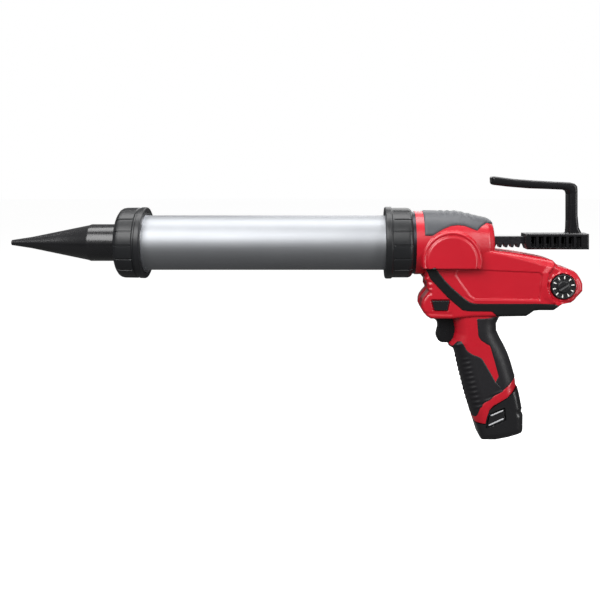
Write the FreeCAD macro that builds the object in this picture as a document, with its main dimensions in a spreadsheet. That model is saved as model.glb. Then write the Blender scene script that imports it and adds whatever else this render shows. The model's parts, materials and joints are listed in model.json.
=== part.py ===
"""Battery-driven caulking gun for 600 ml foil packs.

Frame: millimetres, +Z up, origin on the barrel's axis at the casing's front face.  The barrel runs
towards -X and the pull handle towards +X.  Every size is a cell of the sheet "Sizes"; a Size carries
a number with the sheet expression that it came from, so a sketch or a placement follows its cells.
"""
import FreeCAD, Part
import math
import os
import Sketcher

V = FreeCAD.Vector
X_AXIS, Y_AXIS, Z_AXIS = V(1, 0, 0), V(0, 1, 0), V(0, 0, 1)
TURN = 360.0

CELLS = {
    # fits
    "fit": 0.3, "running_fit": 0.05, "wall": 2.4, "gear_play": 0.16,
    # barrel
    "pack_radius": 26.5, "tube_wall": 2.0, "barrel_length": 284.0, "ring_height": 2.8,
    "nozzle_length": 118.0, "nozzle_cone": 82.0, "nozzle_radius": 19.2, "outlet_radius": 1.8,
    "outlet_length": 10.0, "tip_wall": 0.9, "nozzle_wall": 2.2, "flange_thickness": 3.0,
    "gasket_thickness": 2.0, "cap_front_wall": 5.0, "cap_grip": 24.0, "cap_wall": 5.5,
    "collar_length": 28.0, "collar_lip": 7.5, "groove_depth": 0.7, "groove_width": 0.9,
    "washer_thickness": 2.0, "rear_flange_length": 6.0, "neck_gap": 2.0,
    "neck_thread_length": 9.0, "neck_wall": 5.2, "neck_plate": 8.0,
    "screw_circle": 21.0, "screw_radius": 1.5, "screw_head_radius": 2.8, "screw_head": 2.4,
    # plunger
    "rack_width": 12.0, "rack_top": 6.6, "rack_module": 2.0, "rack_pitch_z": -3.0,
    "rack_front": -250.0, "rack_back": 168.0, "piston_front": -262.0, "piston_thickness": 9.0,
    "bolt_radius": 2.4, "bolt_head_radius": 5.0, "bolt_head": 3.2,
    "block_front": 115.5, "block_back": 182.0, "block_top": 9.8, "block_bottom": -6.6,
    "block_half_width": 10.5, "arm_half_width": 8.5, "arm_height": 66.0,
    # drive
    "pinion_x": 37.0, "pinion_teeth": 14.0, "pinion_width": 11.0, "shaft_radius": 4.0,
    "gear_module": 1.0, "clutch_teeth": 52.0, "lay_teeth": 13.0, "wheel_teeth": 20.0,
    "gear_width": 8.0, "wheel_width": 4.0, "lay_x": 69.0, "lay_radius": 2.5,
    "worm_pitch_radius": 4.5, "worm_length": 17.0, "plate_thickness": 3.0,
    "plate_gap": 7.2, "bush_wall": 1.8,
    "planet_module": 0.7, "sun_teeth": 12.0, "planet_teeth": 15.0, "ring_teeth": 42.0,
    "planet_width": 7.0, "carrier_plate": 3.0, "carrier_front": 87.0, "pin_radius": 1.2,
    "ring_wall": 2.2, "motor_radius": 15.0, "motor_length": 33.0, "can_wall": 1.2,
    "magnet_wall": 3.4, "rotor_radius": 9.6, "motor_shaft": 1.5, "bearing_radius": 4.0,
    "bearing_width": 2.5,
    # casing
    "nose_radius": 33.1, "body_half_width": 25.0, "body_edge": 4.0, "bulge_x": 36.5,
    "bulge_z": -16.4, "bulge_radius": 30.8, "bulge_face": 35.0, "bulge_edge": 4.0,
    "bulge_floor": -24.6,
    "handle_half_width": 22.0, "handle_edge": 5.0, "band_lift": 1.0,
    "seam_screw_radius": 1.5, "boss_radius": 3.6,
    # controls
    "trigger_half_width": 9.0, "dial_x": 151.0, "dial_z": -43.0, "dial_radius": 12.5,
    "dial_hub_radius": 6.0, "dial_thickness": 5.0, "button_half_length": 26.4,
    # battery
    "tilt": 14.0, "stem_x": 80.5, "stem_z": -156.0, "stem_half_depth": 19.3,
    "stem_half_width": 19.3, "stem_height": 48.0, "stem_chamfer": 3.8,
    "battery_half_width": 21.6, "cell_radius": 9.1, "cell_length": 65.0, "latch_thickness": 3.0, "blade_height": 4.0,
}


class Size:
    """A length with its number and the sheet expression behind it."""

    def __init__(self, value, text):
        self.value = value
        self.text = text

    def __float__(self):
        return float(self.value)

    def __neg__(self):
        return Size(-self.value, f"-({self.text})")

    def __add__(self, other):
        return combine(self, "+", other, float(self) + float(other))

    def __radd__(self, other):
        return combine(other, "+", self, float(other) + float(self))

    def __sub__(self, other):
        return combine(self, "-", other, float(self) - float(other))

    def __rsub__(self, other):
        return combine(other, "-", self, float(other) - float(self))

    def __mul__(self, other):
        return combine(self, "*", other, float(self) * float(other))

    def __rmul__(self, other):
        return combine(other, "*", self, float(other) * float(self))

    def __truediv__(self, other):
        return combine(self, "/", other, float(self) / float(other))


def combine(left, sign, right, value):
    texts = [part.text if isinstance(part, Size) else repr(float(part)) for part in (left, right)]
    return Size(value, f"({texts[0]}){sign}({texts[1]})")


class Sheet:
    """The document's sheet, with each cell as an attribute that gives its Size."""

    def __init__(self, doc):
        cells = doc.addObject("Spreadsheet::Sheet", "Sizes")
        for row, (alias, number) in enumerate(CELLS.items(), start=1):
            cells.set(f"A{row}", alias)
            cells.set(f"B{row}", str(number))
            cells.setAlias(f"B{row}", alias)
        doc.recompute()
        for alias in CELLS:
            setattr(self, alias, Size(float(cells.get(alias)), f"Sizes.{alias}"))


doc = FreeCAD.newDocument("caulking_gun")
D = Sheet(doc)
NODES = []


# ---------------------------------------------------------------- ways to make a sub-part

def place(item, label, at=(0, 0, 0), turn=FreeCAD.Rotation()):
    """Names a sub-part and places it, each coordinate bound to its cells."""
    item.Label = label
    item.Placement = FreeCAD.Placement(V(*[float(value) for value in at]), turn)
    for letter, value in zip("xyz", at):
        if isinstance(value, Size):
            item.setExpression(f"Placement.Base.{letter}", value.text)
    NODES.append(item)
    return item


def closed_sketch(body, name, plane_role, points):
    """A closed polygon whose every corner is held by two dimensions."""
    sketch = body.newObject("Sketcher::SketchObject", name)
    plane = [item for item in body.Origin.OriginFeatures if item.Role == plane_role][0]
    sketch.AttachmentSupport = [(plane, "")]
    sketch.MapMode = "FlatFace"
    corners = [V(float(x), float(y), 0) for x, y in points]
    count = len(corners)
    for index in range(count):
        sketch.addGeometry(Part.LineSegment(corners[index], corners[(index + 1) % count]), False)
    for index in range(count):
        sketch.addConstraint(Sketcher.Constraint("Coincident", index, 2, (index + 1) % count, 1))
    for index, pair in enumerate(points):
        for kind, value in zip(("DistanceX", "DistanceY"), pair):
            number = float(value)
            held = sketch.addConstraint(Sketcher.Constraint(kind, -1, 1, index, 1, number))
            if isinstance(value, Size):
                sketch.setExpression(f"Constraints[{held}]", value.text)
    return sketch


def turned(label, profile, at=(0, 0, 0), axis=X_AXIS, grooves=None):
    """A body of revolution about its own X axis; the profile is a list of (x, radius)."""
    body = doc.addObject("PartDesign::Body", label)
    sketch = closed_sketch(body, label + "_profile", "XZ_Plane", profile)
    spin = body.newObject("PartDesign::Revolution", label + "_turned")
    spin.Profile = sketch
    spin.ReferenceAxis = (sketch, ["H_Axis"])
    spin.Angle = TURN
    if grooves:
        doc.recompute()
        cut_grooves(body, label, grooves)
    return place(body, label, at, FreeCAD.Rotation(X_AXIS, axis))


def cut_grooves(body, label, grooves):
    """Lengthwise grooves round a turned body, one pocket repeated about its axis."""
    start, end, floor, count = grooves
    half = D.groove_width / 2
    outer = floor + D.cap_wall * 2
    sketch = closed_sketch(body, label + "_groove", "XZ_Plane",
                           [(start, floor), (end, floor), (end, outer), (start, outer)])
    before = body.Shape.Volume
    pocket = body.newObject("PartDesign::Pocket", label + "_pocket")
    pocket.Profile = sketch
    pocket.Midplane = True
    pocket.Length = float(half * 2)
    pocket.setExpression("Length", (half * 2).text)
    pattern = body.newObject("PartDesign::PolarPattern", label + "_grooves")
    pattern.Originals = [pocket]
    pattern.Axis = ([item for item in body.Origin.OriginFeatures if item.Role == "X_Axis"][0], [""])
    pattern.Angle = TURN
    pattern.Occurrences = count
    body.Tip = pattern
    doc.recompute()
    if not body.Shape.Volume < before:
        raise RuntimeError(label + ": the grooves cut nothing")


def formed(label, shape, at=(0, 0, 0), turn=FreeCAD.Rotation()):
    """A sub-part whose shape is worked out in this file from the sheet's sizes."""
    item = doc.addObject("Part::Feature", label)
    item.Shape = shape
    return place(item, label, at, turn)


# ---------------------------------------------------------------- shapes worked out in code

def rounded_wire(corners):
    """A closed wire in the XZ plane; a corner (x, z, radius) becomes a tangent arc."""
    points = [V(float(c[0]), 0, float(c[1])) for c in corners]
    radii = [float(c[2]) if len(c) > 2 else 0.0 for c in corners]
    count = len(points)
    ends = []
    for index, point in enumerate(points):
        back = points[index - 1] - point
        ahead = points[(index + 1) % count] - point
        half = back.getAngle(ahead) / 2
        reach = radii[index] / math.tan(half)
        reach = min(reach, back.Length * 0.49, ahead.Length * 0.49)
        if reach < 0.01:
            ends.append((point, None, point))
            continue
        start = point + back.normalize() * reach
        stop = point + ahead.normalize() * reach
        middle_way = (back + ahead).normalize()
        centre = point + middle_way * (reach / math.cos(half))
        ends.append((start, centre - middle_way * (reach * math.tan(half)), stop))
    edges = []
    for index in range(count):
        start, middle, stop = ends[index]
        if middle is not None:
            edges.append(Part.Arc(start, middle, stop).toShape())
        following = ends[(index + 1) % count][0]
        if (following - stop).Length > 1e-6:
            edges.append(Part.LineSegment(stop, following).toShape())
    return Part.Wire(edges)


def slab(corners, low, high, inset=0.0):
    """The outline's plate from Y = low to Y = high, its edge drawn in by inset."""
    face = Part.Face(rounded_wire(corners))
    if inset:
        face = face.makeOffset2D(-float(inset))
    face.translate(V(0, float(low), 0))
    return face.extrude(V(0, float(high) - float(low), 0))


def box(x, y, z):
    """A box from three (low, high) pairs."""
    low = [float(pair[0]) for pair in (x, y, z)]
    size = [float(pair[1]) - float(pair[0]) for pair in (x, y, z)]
    return Part.makeBox(*size, V(*low))


def rod(radius, start, end):
    """A cylinder between two points."""
    a, b = V(*[float(value) for value in start]), V(*[float(value) for value in end])
    return Part.makeCylinder(float(radius), (b - a).Length, a, b - a)


def revolved(profile):
    """The solid of revolution about X under a list of (x, radius)."""
    points = [V(float(x), 0, float(radius)) for x, radius in profile]
    ends = [V(points[-1].x, 0, 0), V(points[0].x, 0, 0)]
    wire = Part.makePolygon(points + ends + [points[0]])
    return Part.Face(wire).revolve(V(0, 0, 0), X_AXIS, TURN)


def fused(shapes):
    """One solid from pieces that overlap, with the seams between flush faces removed."""
    return shapes[0].fuse(shapes[1:]).removeSplitter()


def gear_wire(teeth, module, tip, root, slack):
    """A gear's outline in the YZ plane with a tooth centred on +Z: involute flanks at 20 degrees."""
    teeth = round(float(teeth))
    module = float(module)
    pitch = module * teeth / 2
    base = pitch * math.cos(math.radians(20))
    half_at_pitch = (math.pi * module / 2 + slack) / (2 * pitch)
    radii = [pitch - root, max(base, pitch - root), pitch, pitch + tip]

    def flank(radius):
        if radius <= base:
            return 0.0
        angle = math.acos(base / radius)
        return math.tan(angle) - angle

    halves = [max(half_at_pitch + flank(pitch) - flank(radius), 0.0) for radius in radii]
    points = []
    for tooth in range(teeth):
        middle = 2 * math.pi * tooth / teeth
        rising = [(radius, middle - half) for radius, half in zip(radii, halves)]
        falling = [(radius, middle + half) for radius, half in zip(radii[::-1], halves[::-1])]
        for radius, angle in rising + falling:
            point = V(0, radius * math.sin(angle), radius * math.cos(angle))
            if not points or (point - points[-1]).Length > 1e-4:
                points.append(point)
    return Part.makePolygon(points + [points[0]])


def gear(teeth, module, width, bore):
    """A spur gear from X = 0 to X = width with short teeth."""
    module = float(module)
    face = Part.Face(gear_wire(teeth, module, 0.8 * module, 1.2 * module, -float(D.gear_play)))
    solid = face.extrude(V(float(width), 0, 0))
    return solid.cut(rod(bore, (-1, 0, 0), (float(width) + 1, 0, 0))) if bore else solid


def along_y(phase):
    """Turns a gear made along X to lie along +Y, then spins it by phase about Y."""
    return FreeCAD.Rotation(Y_AXIS, float(phase)) * FreeCAD.Rotation(Z_AXIS, 90)


# ---------------------------------------------------------------- places shared by several pieces

tube_radius = D.pack_radius + D.tube_wall
ring_radius = tube_radius + D.ring_height
gasket_outer = ring_radius - D.fit
neck_front = -(D.neck_gap + D.neck_thread_length + 1.0)
tube_back = neck_front - D.gasket_thickness
tube_front = tube_back - D.barrel_length
gasket_front = tube_front - D.gasket_thickness
flange_front = gasket_front - D.flange_thickness
cap_front = flange_front - D.cap_front_wall
nozzle_tip = flange_front - D.nozzle_length
cap_bore = ring_radius + D.fit
cap_radius = cap_bore + D.cap_wall
neck_radius = ring_radius + 1.5
neck_foot_radius = D.nose_radius - D.wall - D.fit
collar_back = -D.neck_gap
collar_front = collar_back - D.collar_length
plate_back = D.neck_plate - 2.0
case_front = plate_back
rack_pitch = D.rack_module * math.pi
pinion_radius = D.rack_module * D.pinion_teeth / 2
pinion_z = D.rack_pitch_z - pinion_radius
gear_distance = D.gear_module * (D.clutch_teeth + D.lay_teeth) / 2
lay_drop = math.sqrt(float(gear_distance) ** 2 - float(D.lay_x - D.pinion_x) ** 2)
lay_z = pinion_z - lay_drop
wheel_radius = D.gear_module * D.wheel_teeth / 2
motor_z = lay_z - wheel_radius - D.worm_pitch_radius
ring_front = D.carrier_front + D.carrier_plate + 1.0
ring_back = ring_front + D.planet_width + 2.0
motor_front = ring_back
motor_back = motor_front + D.motor_length
ring_outer = D.planet_module * D.ring_teeth / 2 + D.planet_module * 1.2 + D.ring_wall

tilt = math.radians(float(D.tilt))
DOWN = V(math.sin(tilt), 0, -math.cos(tilt))
BACK = V(math.cos(tilt), 0, math.sin(tilt))
STEM_TURN = FreeCAD.Rotation(Y_AXIS, -float(D.tilt))
STEM = V(float(D.stem_x), 0, float(D.stem_z))
stem_bottom = -32.0


def in_handle(across, side, up):
    """A point given along the handle's own depth, width and height, from the stem's middle."""
    return STEM + BACK * float(across) + V(0, float(side), 0) - DOWN * float(up)


def handle_box(across, side, up):
    """A box whose edges follow the tilted handle."""
    low = [float(pair[0]) for pair in (across, side, up)]
    size = [float(pair[1]) - float(pair[0]) for pair in (across, side, up)]
    solid = Part.makeBox(*size, V(*low))
    solid.Placement = FreeCAD.Placement(STEM, STEM_TURN)
    return solid


def handle_post(depth, width, up):
    """A post along the tilted handle, square with its four long edges cut off."""
    depth, width, cut = float(depth), float(width), float(D.stem_chamfer)
    corners = [(-depth + cut, -width), (depth - cut, -width), (depth, -width + cut),
               (depth, width - cut), (depth - cut, width), (-depth + cut, width),
               (-depth, width - cut), (-depth, -width + cut)]
    wire = Part.makePolygon([V(x, y, float(up[0])) for x, y in corners + corners[:1]])
    solid = Part.Face(wire).extrude(V(0, 0, float(up[1]) - float(up[0])))
    solid.Placement = FreeCAD.Placement(STEM, STEM_TURN)
    return solid


# ---------------------------------------------------------------- barrel

def nozzle():
    cone_end = nozzle_tip + D.nozzle_cone
    tip_radius = D.outlet_radius + D.tip_wall
    inner = D.nozzle_radius - D.nozzle_wall
    shoulder = flange_front - D.cap_front_wall / 2
    profile = [
        (nozzle_tip, D.outlet_radius), (nozzle_tip, tip_radius),
        (cone_end, D.nozzle_radius - 0.6), (cone_end + 2.0, D.nozzle_radius),
        (flange_front, D.nozzle_radius), (flange_front, ring_radius - 1.0),
        (gasket_front, ring_radius - 1.0), (gasket_front, D.nozzle_radius - 1.0),
        (shoulder, inner), (cone_end + 3.0, inner),
        (nozzle_tip + D.outlet_length, D.outlet_radius),
    ]
    turned("nozzle", profile)


def ring(label, start, end, inner, outer, at=(0, 0, 0), axis=X_AXIS):
    """A plain turned ring."""
    turned(label, [(start, inner), (end, inner), (end, outer), (start, outer)], at, axis)


def front_cap():
    back = cap_front + D.cap_front_wall + D.cap_grip
    groove = back - 7.5
    profile = [
        (cap_front, D.nozzle_radius + D.fit), (cap_front, cap_radius - 9.0),
        (cap_front + 1.5, cap_radius - 4.0), (cap_front + 4.0, cap_radius - 1.6),
        (cap_front + 7.0, cap_radius - 0.6), (groove, cap_radius - 0.4),
        (groove + 0.6, cap_radius - 1.2), (groove + 2.0, cap_radius - 1.2),
        (groove + 2.6, cap_radius), (back - 1.0, cap_radius), (back, cap_radius - 1.0),
        (back, cap_bore), (flange_front - D.running_fit, cap_bore),
        (flange_front - D.running_fit, D.nozzle_radius + D.fit),
    ]
    turned("front_cap", profile,
           grooves=(cap_front - 1.0, groove - 0.5, cap_radius - 0.6 - D.groove_depth, 16))


def barrel():
    ring("barrel_tube", tube_front, tube_back, D.pack_radius, tube_radius)
    ring_end = cap_front + D.cap_front_wall + D.cap_grip + 0.6
    ring("front_thread_ring", tube_front, ring_end, tube_radius, ring_radius)
    ring("nozzle_gasket", gasket_front, tube_front, D.pack_radius - 2.0, gasket_outer)
    ring("rear_flange_ring", tube_back - D.rear_flange_length, tube_back, tube_radius, ring_radius)
    ring("rear_gasket", tube_back, neck_front, D.pack_radius, gasket_outer)


def rear_collar():
    lip = collar_front + D.collar_lip
    bore = neck_radius + D.fit
    outer = bore + D.cap_wall - 1.2
    profile = [
        (collar_front, tube_radius + D.fit), (collar_front, outer - 0.8),
        (collar_front + 1.0, outer + 0.2), (lip - 0.8, outer + 0.2), (lip, outer - 0.8),
        (collar_back - 4.0, outer - 0.8), (collar_back - 1.2, outer - 2.0),
        (collar_back, outer - 4.4), (collar_back, bore), (lip, bore),
        (lip, tube_radius + D.fit),
    ]
    turned("rear_collar", profile, grooves=(lip + 0.5, collar_back, outer - 0.8 - D.groove_depth, 16))
    washer_back = tube_back - D.rear_flange_length - D.running_fit
    ring("collar_slip_washer", washer_back - D.washer_thickness, washer_back,
         tube_radius + D.fit, neck_radius)


def front_neck():
    """A threaded cup with a floor; the rack's guide sits in the floor's bore."""
    floor_front = plate_back - D.neck_plate
    inner = neck_radius - D.neck_wall
    bore = D.rack_width / 2 + 4.6
    profile = [
        (neck_front, inner), (neck_front, neck_radius), (-1.0 - D.neck_gap, neck_radius),
        (-D.neck_gap, neck_radius - 0.4), (1.0, neck_radius - 0.4), (1.0, neck_foot_radius),
        (plate_back, neck_foot_radius), (plate_back, bore), (floor_front, bore),
        (floor_front, inner),
    ]
    body = turned("front_neck", profile)
    sketch = closed_sketch(body, "neck_hole", "XZ_Plane", [
        (floor_front - 1.0, D.screw_circle), (plate_back + 1.0, D.screw_circle),
        (plate_back + 1.0, D.screw_circle + D.screw_radius),
        (floor_front - 1.0, D.screw_circle + D.screw_radius)])
    drill = body.newObject("PartDesign::Groove", "neck_drill")
    drill.Profile = sketch
    drill.ReferenceAxis = (sketch, ["Edge1"])
    drill.Angle = TURN
    pattern = body.newObject("PartDesign::PolarPattern", "neck_holes")
    pattern.Originals = [drill]
    pattern.Axis = ([item for item in body.Origin.OriginFeatures if item.Role == "X_Axis"][0], [""])
    pattern.Angle = TURN
    pattern.Occurrences = 4
    body.Tip = pattern
    rack_guide(floor_front, plate_back + 4.0, bore)


def rack_window(clearance):
    """The rack's cross-section with a clearance all round, as low and high pairs of Y and Z."""
    half = D.rack_width / 2 + clearance
    return (-half, half), (D.rack_pitch_z - D.rack_module * 0.8 - clearance, D.rack_top + clearance)


def rack_guide(start, end, radius):
    """A bush in the neck's floor with a window that fits the rack."""
    bush = doc.addObject("Part::Cylinder", "guide_bush")
    window = doc.addObject("Part::Box", "guide_window")
    across, height = rack_window(D.running_fit * 2)
    lengths = {(bush, "Radius"): radius, (bush, "Height"): end - start,
               (window, "Length"): end - start + 2.0, (window, "Width"): across[1] - across[0],
               (window, "Height"): height[1] - height[0]}
    for (item, name), value in lengths.items():
        setattr(item, name, float(value))
        item.setExpression(name, value.text)
    bush.Placement = FreeCAD.Placement(V(float(start), 0, 0), FreeCAD.Rotation(Z_AXIS, X_AXIS))
    bush.setExpression("Placement.Base.x", start.text)
    for letter, value in zip("xyz", (start - 1.0, across[0], height[0])):
        window.setExpression(f"Placement.Base.{letter}", value.text)
    cut = doc.addObject("Part::Cut", "guide_cut")
    cut.Base, cut.Tool = bush, window
    place(cut, "rack_guide")


def screws(label, places, direction, head, shank, head_radius, radius):
    """Pan-head screws: each stands at a point, its head outside and its shank along direction."""
    solids = []
    for spot in places:
        start = V(*[float(value) for value in spot])
        solids.append(fused([rod(head_radius, start - direction * float(head), start),
                             rod(radius, start - direction * 0.5, start + direction * float(shank))]))
    formed(label, Part.makeCompound(solids))


# ---------------------------------------------------------------- plunger

def rack_rod():
    """A toothed bar: a tooth space is centred over the drive pinion."""
    top, pitch_line = float(D.rack_top), float(D.rack_pitch_z)
    module = float(D.rack_module)
    tip, root = pitch_line - 0.8 * module, pitch_line + 1.2 * module
    pitch = float(rack_pitch)
    slope = math.tan(math.radians(20))
    half = (pitch / 2 - float(D.gear_play)) / 2
    toothed_from = float(D.rack_front) + 12.0
    toothed_to = float(D.block_front) - 0.5
    points = [V(float(D.rack_front), 0, root), V(toothed_from, 0, root)]
    first = math.ceil((toothed_from - float(D.pinion_x)) / pitch)
    last = math.floor((toothed_to - float(D.pinion_x)) / pitch) - 1
    for index in range(first, last + 1):
        middle = float(D.pinion_x) + (index + 0.5) * pitch
        at_root = half + slope * (root - pitch_line)
        at_tip = half - slope * (pitch_line - tip)
        points += [V(middle - at_root, 0, root), V(middle - at_tip, 0, tip),
                   V(middle + at_tip, 0, tip), V(middle + at_root, 0, root)]
    back = float(D.rack_back)
    points += [V(back, 0, root), V(back, 0, top), V(float(D.rack_front), 0, top)]
    half_width = float(D.rack_width) / 2
    face = Part.Face(Part.makePolygon(points + [points[0]]))
    face.translate(V(0, -half_width, 0))
    bar = face.extrude(V(0, 2 * half_width, 0))
    middle_z = (root + top) / 2
    seat = D.piston_front + D.piston_thickness
    spigot = rod(float(top - root) / 2 - 0.4, (seat, 0, middle_z), (D.rack_front, 0, middle_z))
    hole = rod(D.bolt_radius, (D.piston_front - 1, 0, middle_z), (D.rack_front + 4, 0, middle_z))
    screw_holes = [rod(D.screw_radius, (x, 0, -9), (x, 0, top - 1.5)) for x in handle_screw_x()]
    formed("rack_rod", fused([bar, spigot]).cut([hole] + screw_holes))


def rod_axis_z():
    return (D.rack_pitch_z + D.rack_module * 1.2 + D.rack_top) / 2


def piston():
    axis = rod_axis_z()
    front, back = D.piston_front, D.piston_front + D.piston_thickness
    outer = D.pack_radius - 1.0
    disc = revolved([(front, outer - 1.0), (front + 1.0, outer), (front + 2.5, outer),
                     (front + 2.5, outer - 2.5), (back - 2.5, outer - 2.5), (back - 2.5, outer),
                     (back - 2.0, outer), (back, outer - 2.0)])
    hole = rod(D.bolt_radius, (front - 1, 0, axis), (back + 1, 0, axis))
    formed("piston_disc", disc.cut(hole))
    ring("piston_seal", front + 2.5, back - 2.5, outer - 2.5, D.pack_radius - D.fit)
    formed("piston_bolt", fused([
        rod(D.bolt_head_radius, (front - D.bolt_head, 0, axis), (front, 0, axis)),
        rod(D.bolt_radius, (front - 1, 0, axis), (D.rack_front + 4, 0, axis))]))


def handle_screw_x():
    return (D.block_front + 14.0, D.block_front + 40.0)


def pull_handle():
    """A slotted block clamped on the rack's end, with an arm that rises and returns forwards."""
    front, back = float(D.block_front), float(D.block_back)
    top, bottom = float(D.block_top), float(D.block_bottom)
    height = float(D.arm_height)
    block = slab([(front, top, 1), (front - 0.8, top - 9, 3), (front + 2.5, bottom, 1.5),
                  (back, bottom, 1.5), (back, top, 1.5)], -D.block_half_width, D.block_half_width)
    slot_width, rib = 5.2, 2.6
    count = 7
    for index in range(count):
        left = front + 6.0 + index * (slot_width + rib)
        for side in (-1, 1):
            face = side * float(D.block_half_width)
            floor = face - side * 3.2
            block = block.cut(box((left, left + slot_width), sorted((face + side, floor)),
                                  (bottom + 2.4, top - 2.4)))
    arm = slab([(161.0, top - 2), (161.5, 24, 6), (161.5, height - 11.5, 4), (120, height - 9.5, 60),
                (82, height - 4.2, 2.5), (81.4, height + 3.6, 2.5), (125, height - 0.6, 60),
                (166, height - 2.9, 2), (171.2, height - 8, 3), (171.2, 24, 8), (176, top - 2)],
               -D.arm_half_width, D.arm_half_width)
    slot = box((front - 2, D.rack_back), (-D.rack_width / 2, D.rack_width / 2),
               (D.rack_pitch_z + D.rack_module * 1.2, D.rack_top))
    tooth_room = box((front - 2, front + 3), (-D.rack_width / 2, D.rack_width / 2), (-5.2, 0))
    solid = fused([block, arm]).cut([slot, tooth_room])
    holes = []
    for x in handle_screw_x():
        holes.append(rod(D.screw_radius, (x, 0, bottom - 1), (x, 0, 1)))
        holes.append(rod(D.screw_head_radius, (x, 0, bottom - 1), (x, 0, bottom + D.screw_head)))
    formed("pull_handle", solid.cut(holes))
    seats = [(x, 0, bottom + D.screw_head) for x in handle_screw_x()]
    screws("pull_handle_screws", seats, Z_AXIS, D.screw_head, 7.0, D.screw_head_radius,
           D.screw_radius)


# ---------------------------------------------------------------- drive

gear_side = -(D.plate_gap + D.plate_thickness + 1.0 + D.gear_width)
shaft_end = D.plate_gap + D.plate_thickness + 2.0
worm_front = D.lay_x - 14.0
bridge_front = worm_front
rear_plate = D.carrier_front - 3.5


def gear_case():
    """Two side plates joined by a front disc, a bridge under the worm's nose and a rear disc."""
    front, back = float(case_front), float(rear_plate)
    low = float(motor_z) - 12.0
    plates = []
    for side in (-1, 1):
        near = side * float(D.plate_gap)
        far = side * float(D.plate_gap + D.plate_thickness)
        outline = [(front, 9), (58, 9, 4), (70, -9, 4), (back, -12), (back, low), (52, low, 6),
                   (34, -34, 6), (front, -24)]
        plates.append(slab(outline, *sorted((near, far))))
    disc = rod(neck_foot_radius, (front, 0, 0), (front + 3.5, 0, 0))
    bridge = box((bridge_front, bridge_front + 5), (-D.plate_gap, D.plate_gap),
                 (motor_z - 7, motor_z + 7))
    rear = rod(ring_outer, (rear_plate, 0, motor_z), (rear_plate + 2.5, 0, motor_z))
    solid = fused(plates + [disc, bridge, rear])
    reach = float(shaft_end) + 5
    guide = D.rack_width / 2 + 4.6
    cuts = [
        rod(guide, (front - 1, 0, 0), (front + 6, 0, 0)),
        rod(D.shaft_radius + D.bush_wall, (D.pinion_x, -reach, pinion_z), (D.pinion_x, reach, pinion_z)),
        rod(D.lay_radius + D.bush_wall, (D.lay_x, -reach, lay_z), (D.lay_x, reach, lay_z)),
        rod(worm_shaft_radius + D.bush_wall, (bridge_front - 1, 0, motor_z),
            (rear_plate + 4, 0, motor_z)),
    ]
    for spot in neck_screw_spots(front):
        cuts.append(rod(D.screw_radius, spot, (front + 9, spot[1], spot[2])))
    formed("gear_case", solid.cut(cuts))


def neck_screw_spots(x):
    """Four places on the neck's screw circle, clear of the side plates."""
    radius = float(D.screw_circle)
    return [(float(x), radius * math.cos(angle), radius * math.sin(angle))
            for angle in (math.pi / 2 * quarter for quarter in range(4))]


worm_shaft_radius = D.motor_shaft + 1.0


def drive_shafts():
    """The pinion's shaft, the lay shaft with its pinion, their gears and their bushes."""
    drive = (D.pinion_x, gear_side - 4.0, pinion_z)
    formed("drive_shaft", rod(D.shaft_radius, drive, (D.pinion_x, shaft_end, pinion_z)))
    formed("drive_pinion", gear(D.pinion_teeth, D.rack_module, D.pinion_width, D.shaft_radius),
           (D.pinion_x, -D.pinion_width / 2, pinion_z), along_y(0))
    mesh = math.degrees(math.atan2(float(D.lay_x - D.pinion_x), float(lay_z - pinion_z)))
    formed("clutch_gear", gear(D.clutch_teeth, D.gear_module, D.gear_width,
                               D.shaft_radius + D.running_fit),
           (D.pinion_x, gear_side, pinion_z), along_y(mesh))
    half_tooth = TURN / float(D.lay_teeth) / 2
    lay = fused([
        rod(D.lay_radius, (-1.0, 0, 0), (shaft_end - gear_side, 0, 0)),
        gear(D.lay_teeth, D.gear_module, D.gear_width, None)])
    formed("lay_shaft", lay, (D.lay_x, gear_side, lay_z), along_y(mesh + TURN / 2 + half_tooth))
    wheel_phase = TURN / 2
    formed("worm_wheel", gear(D.wheel_teeth, D.gear_module * 1.0, D.wheel_width, D.lay_radius),
           (D.lay_x, -D.wheel_width / 2, lay_z), along_y(wheel_phase))
    bushes = []
    for x, z, radius in ((D.pinion_x, pinion_z, D.shaft_radius), (D.lay_x, lay_z, D.lay_radius)):
        for side in (-1, 1):
            near, far = side * float(D.plate_gap), side * float(D.plate_gap + D.plate_thickness)
            outer = rod(radius + D.bush_wall, (x, near, z), (x, far, z))
            bushes.append(outer.cut(rod(radius + D.running_fit, (x, near - side, z),
                                        (x, far + side, z))))
    formed("shaft_bushes", Part.makeCompound(bushes))


def worm_thread():
    """One helical thread about +Z, its cross-section a wedge that enters the core."""
    lead = math.pi * float(D.gear_module)
    length = float(D.worm_length)
    core, outer = float(D.worm_pitch_radius) - 1.25, float(D.worm_pitch_radius) + 0.8
    helix = Part.makeHelix(lead, length - lead, core)
    wide, narrow = 0.95, 0.38
    section = Part.makePolygon([V(core - 0.3, 0, -wide), V(outer, 0, -narrow), V(outer, 0, narrow),
                                V(core - 0.3, 0, wide), V(core - 0.3, 0, -wide)])
    return Part.Wire(helix).makePipeShell([section], True, True)


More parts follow.
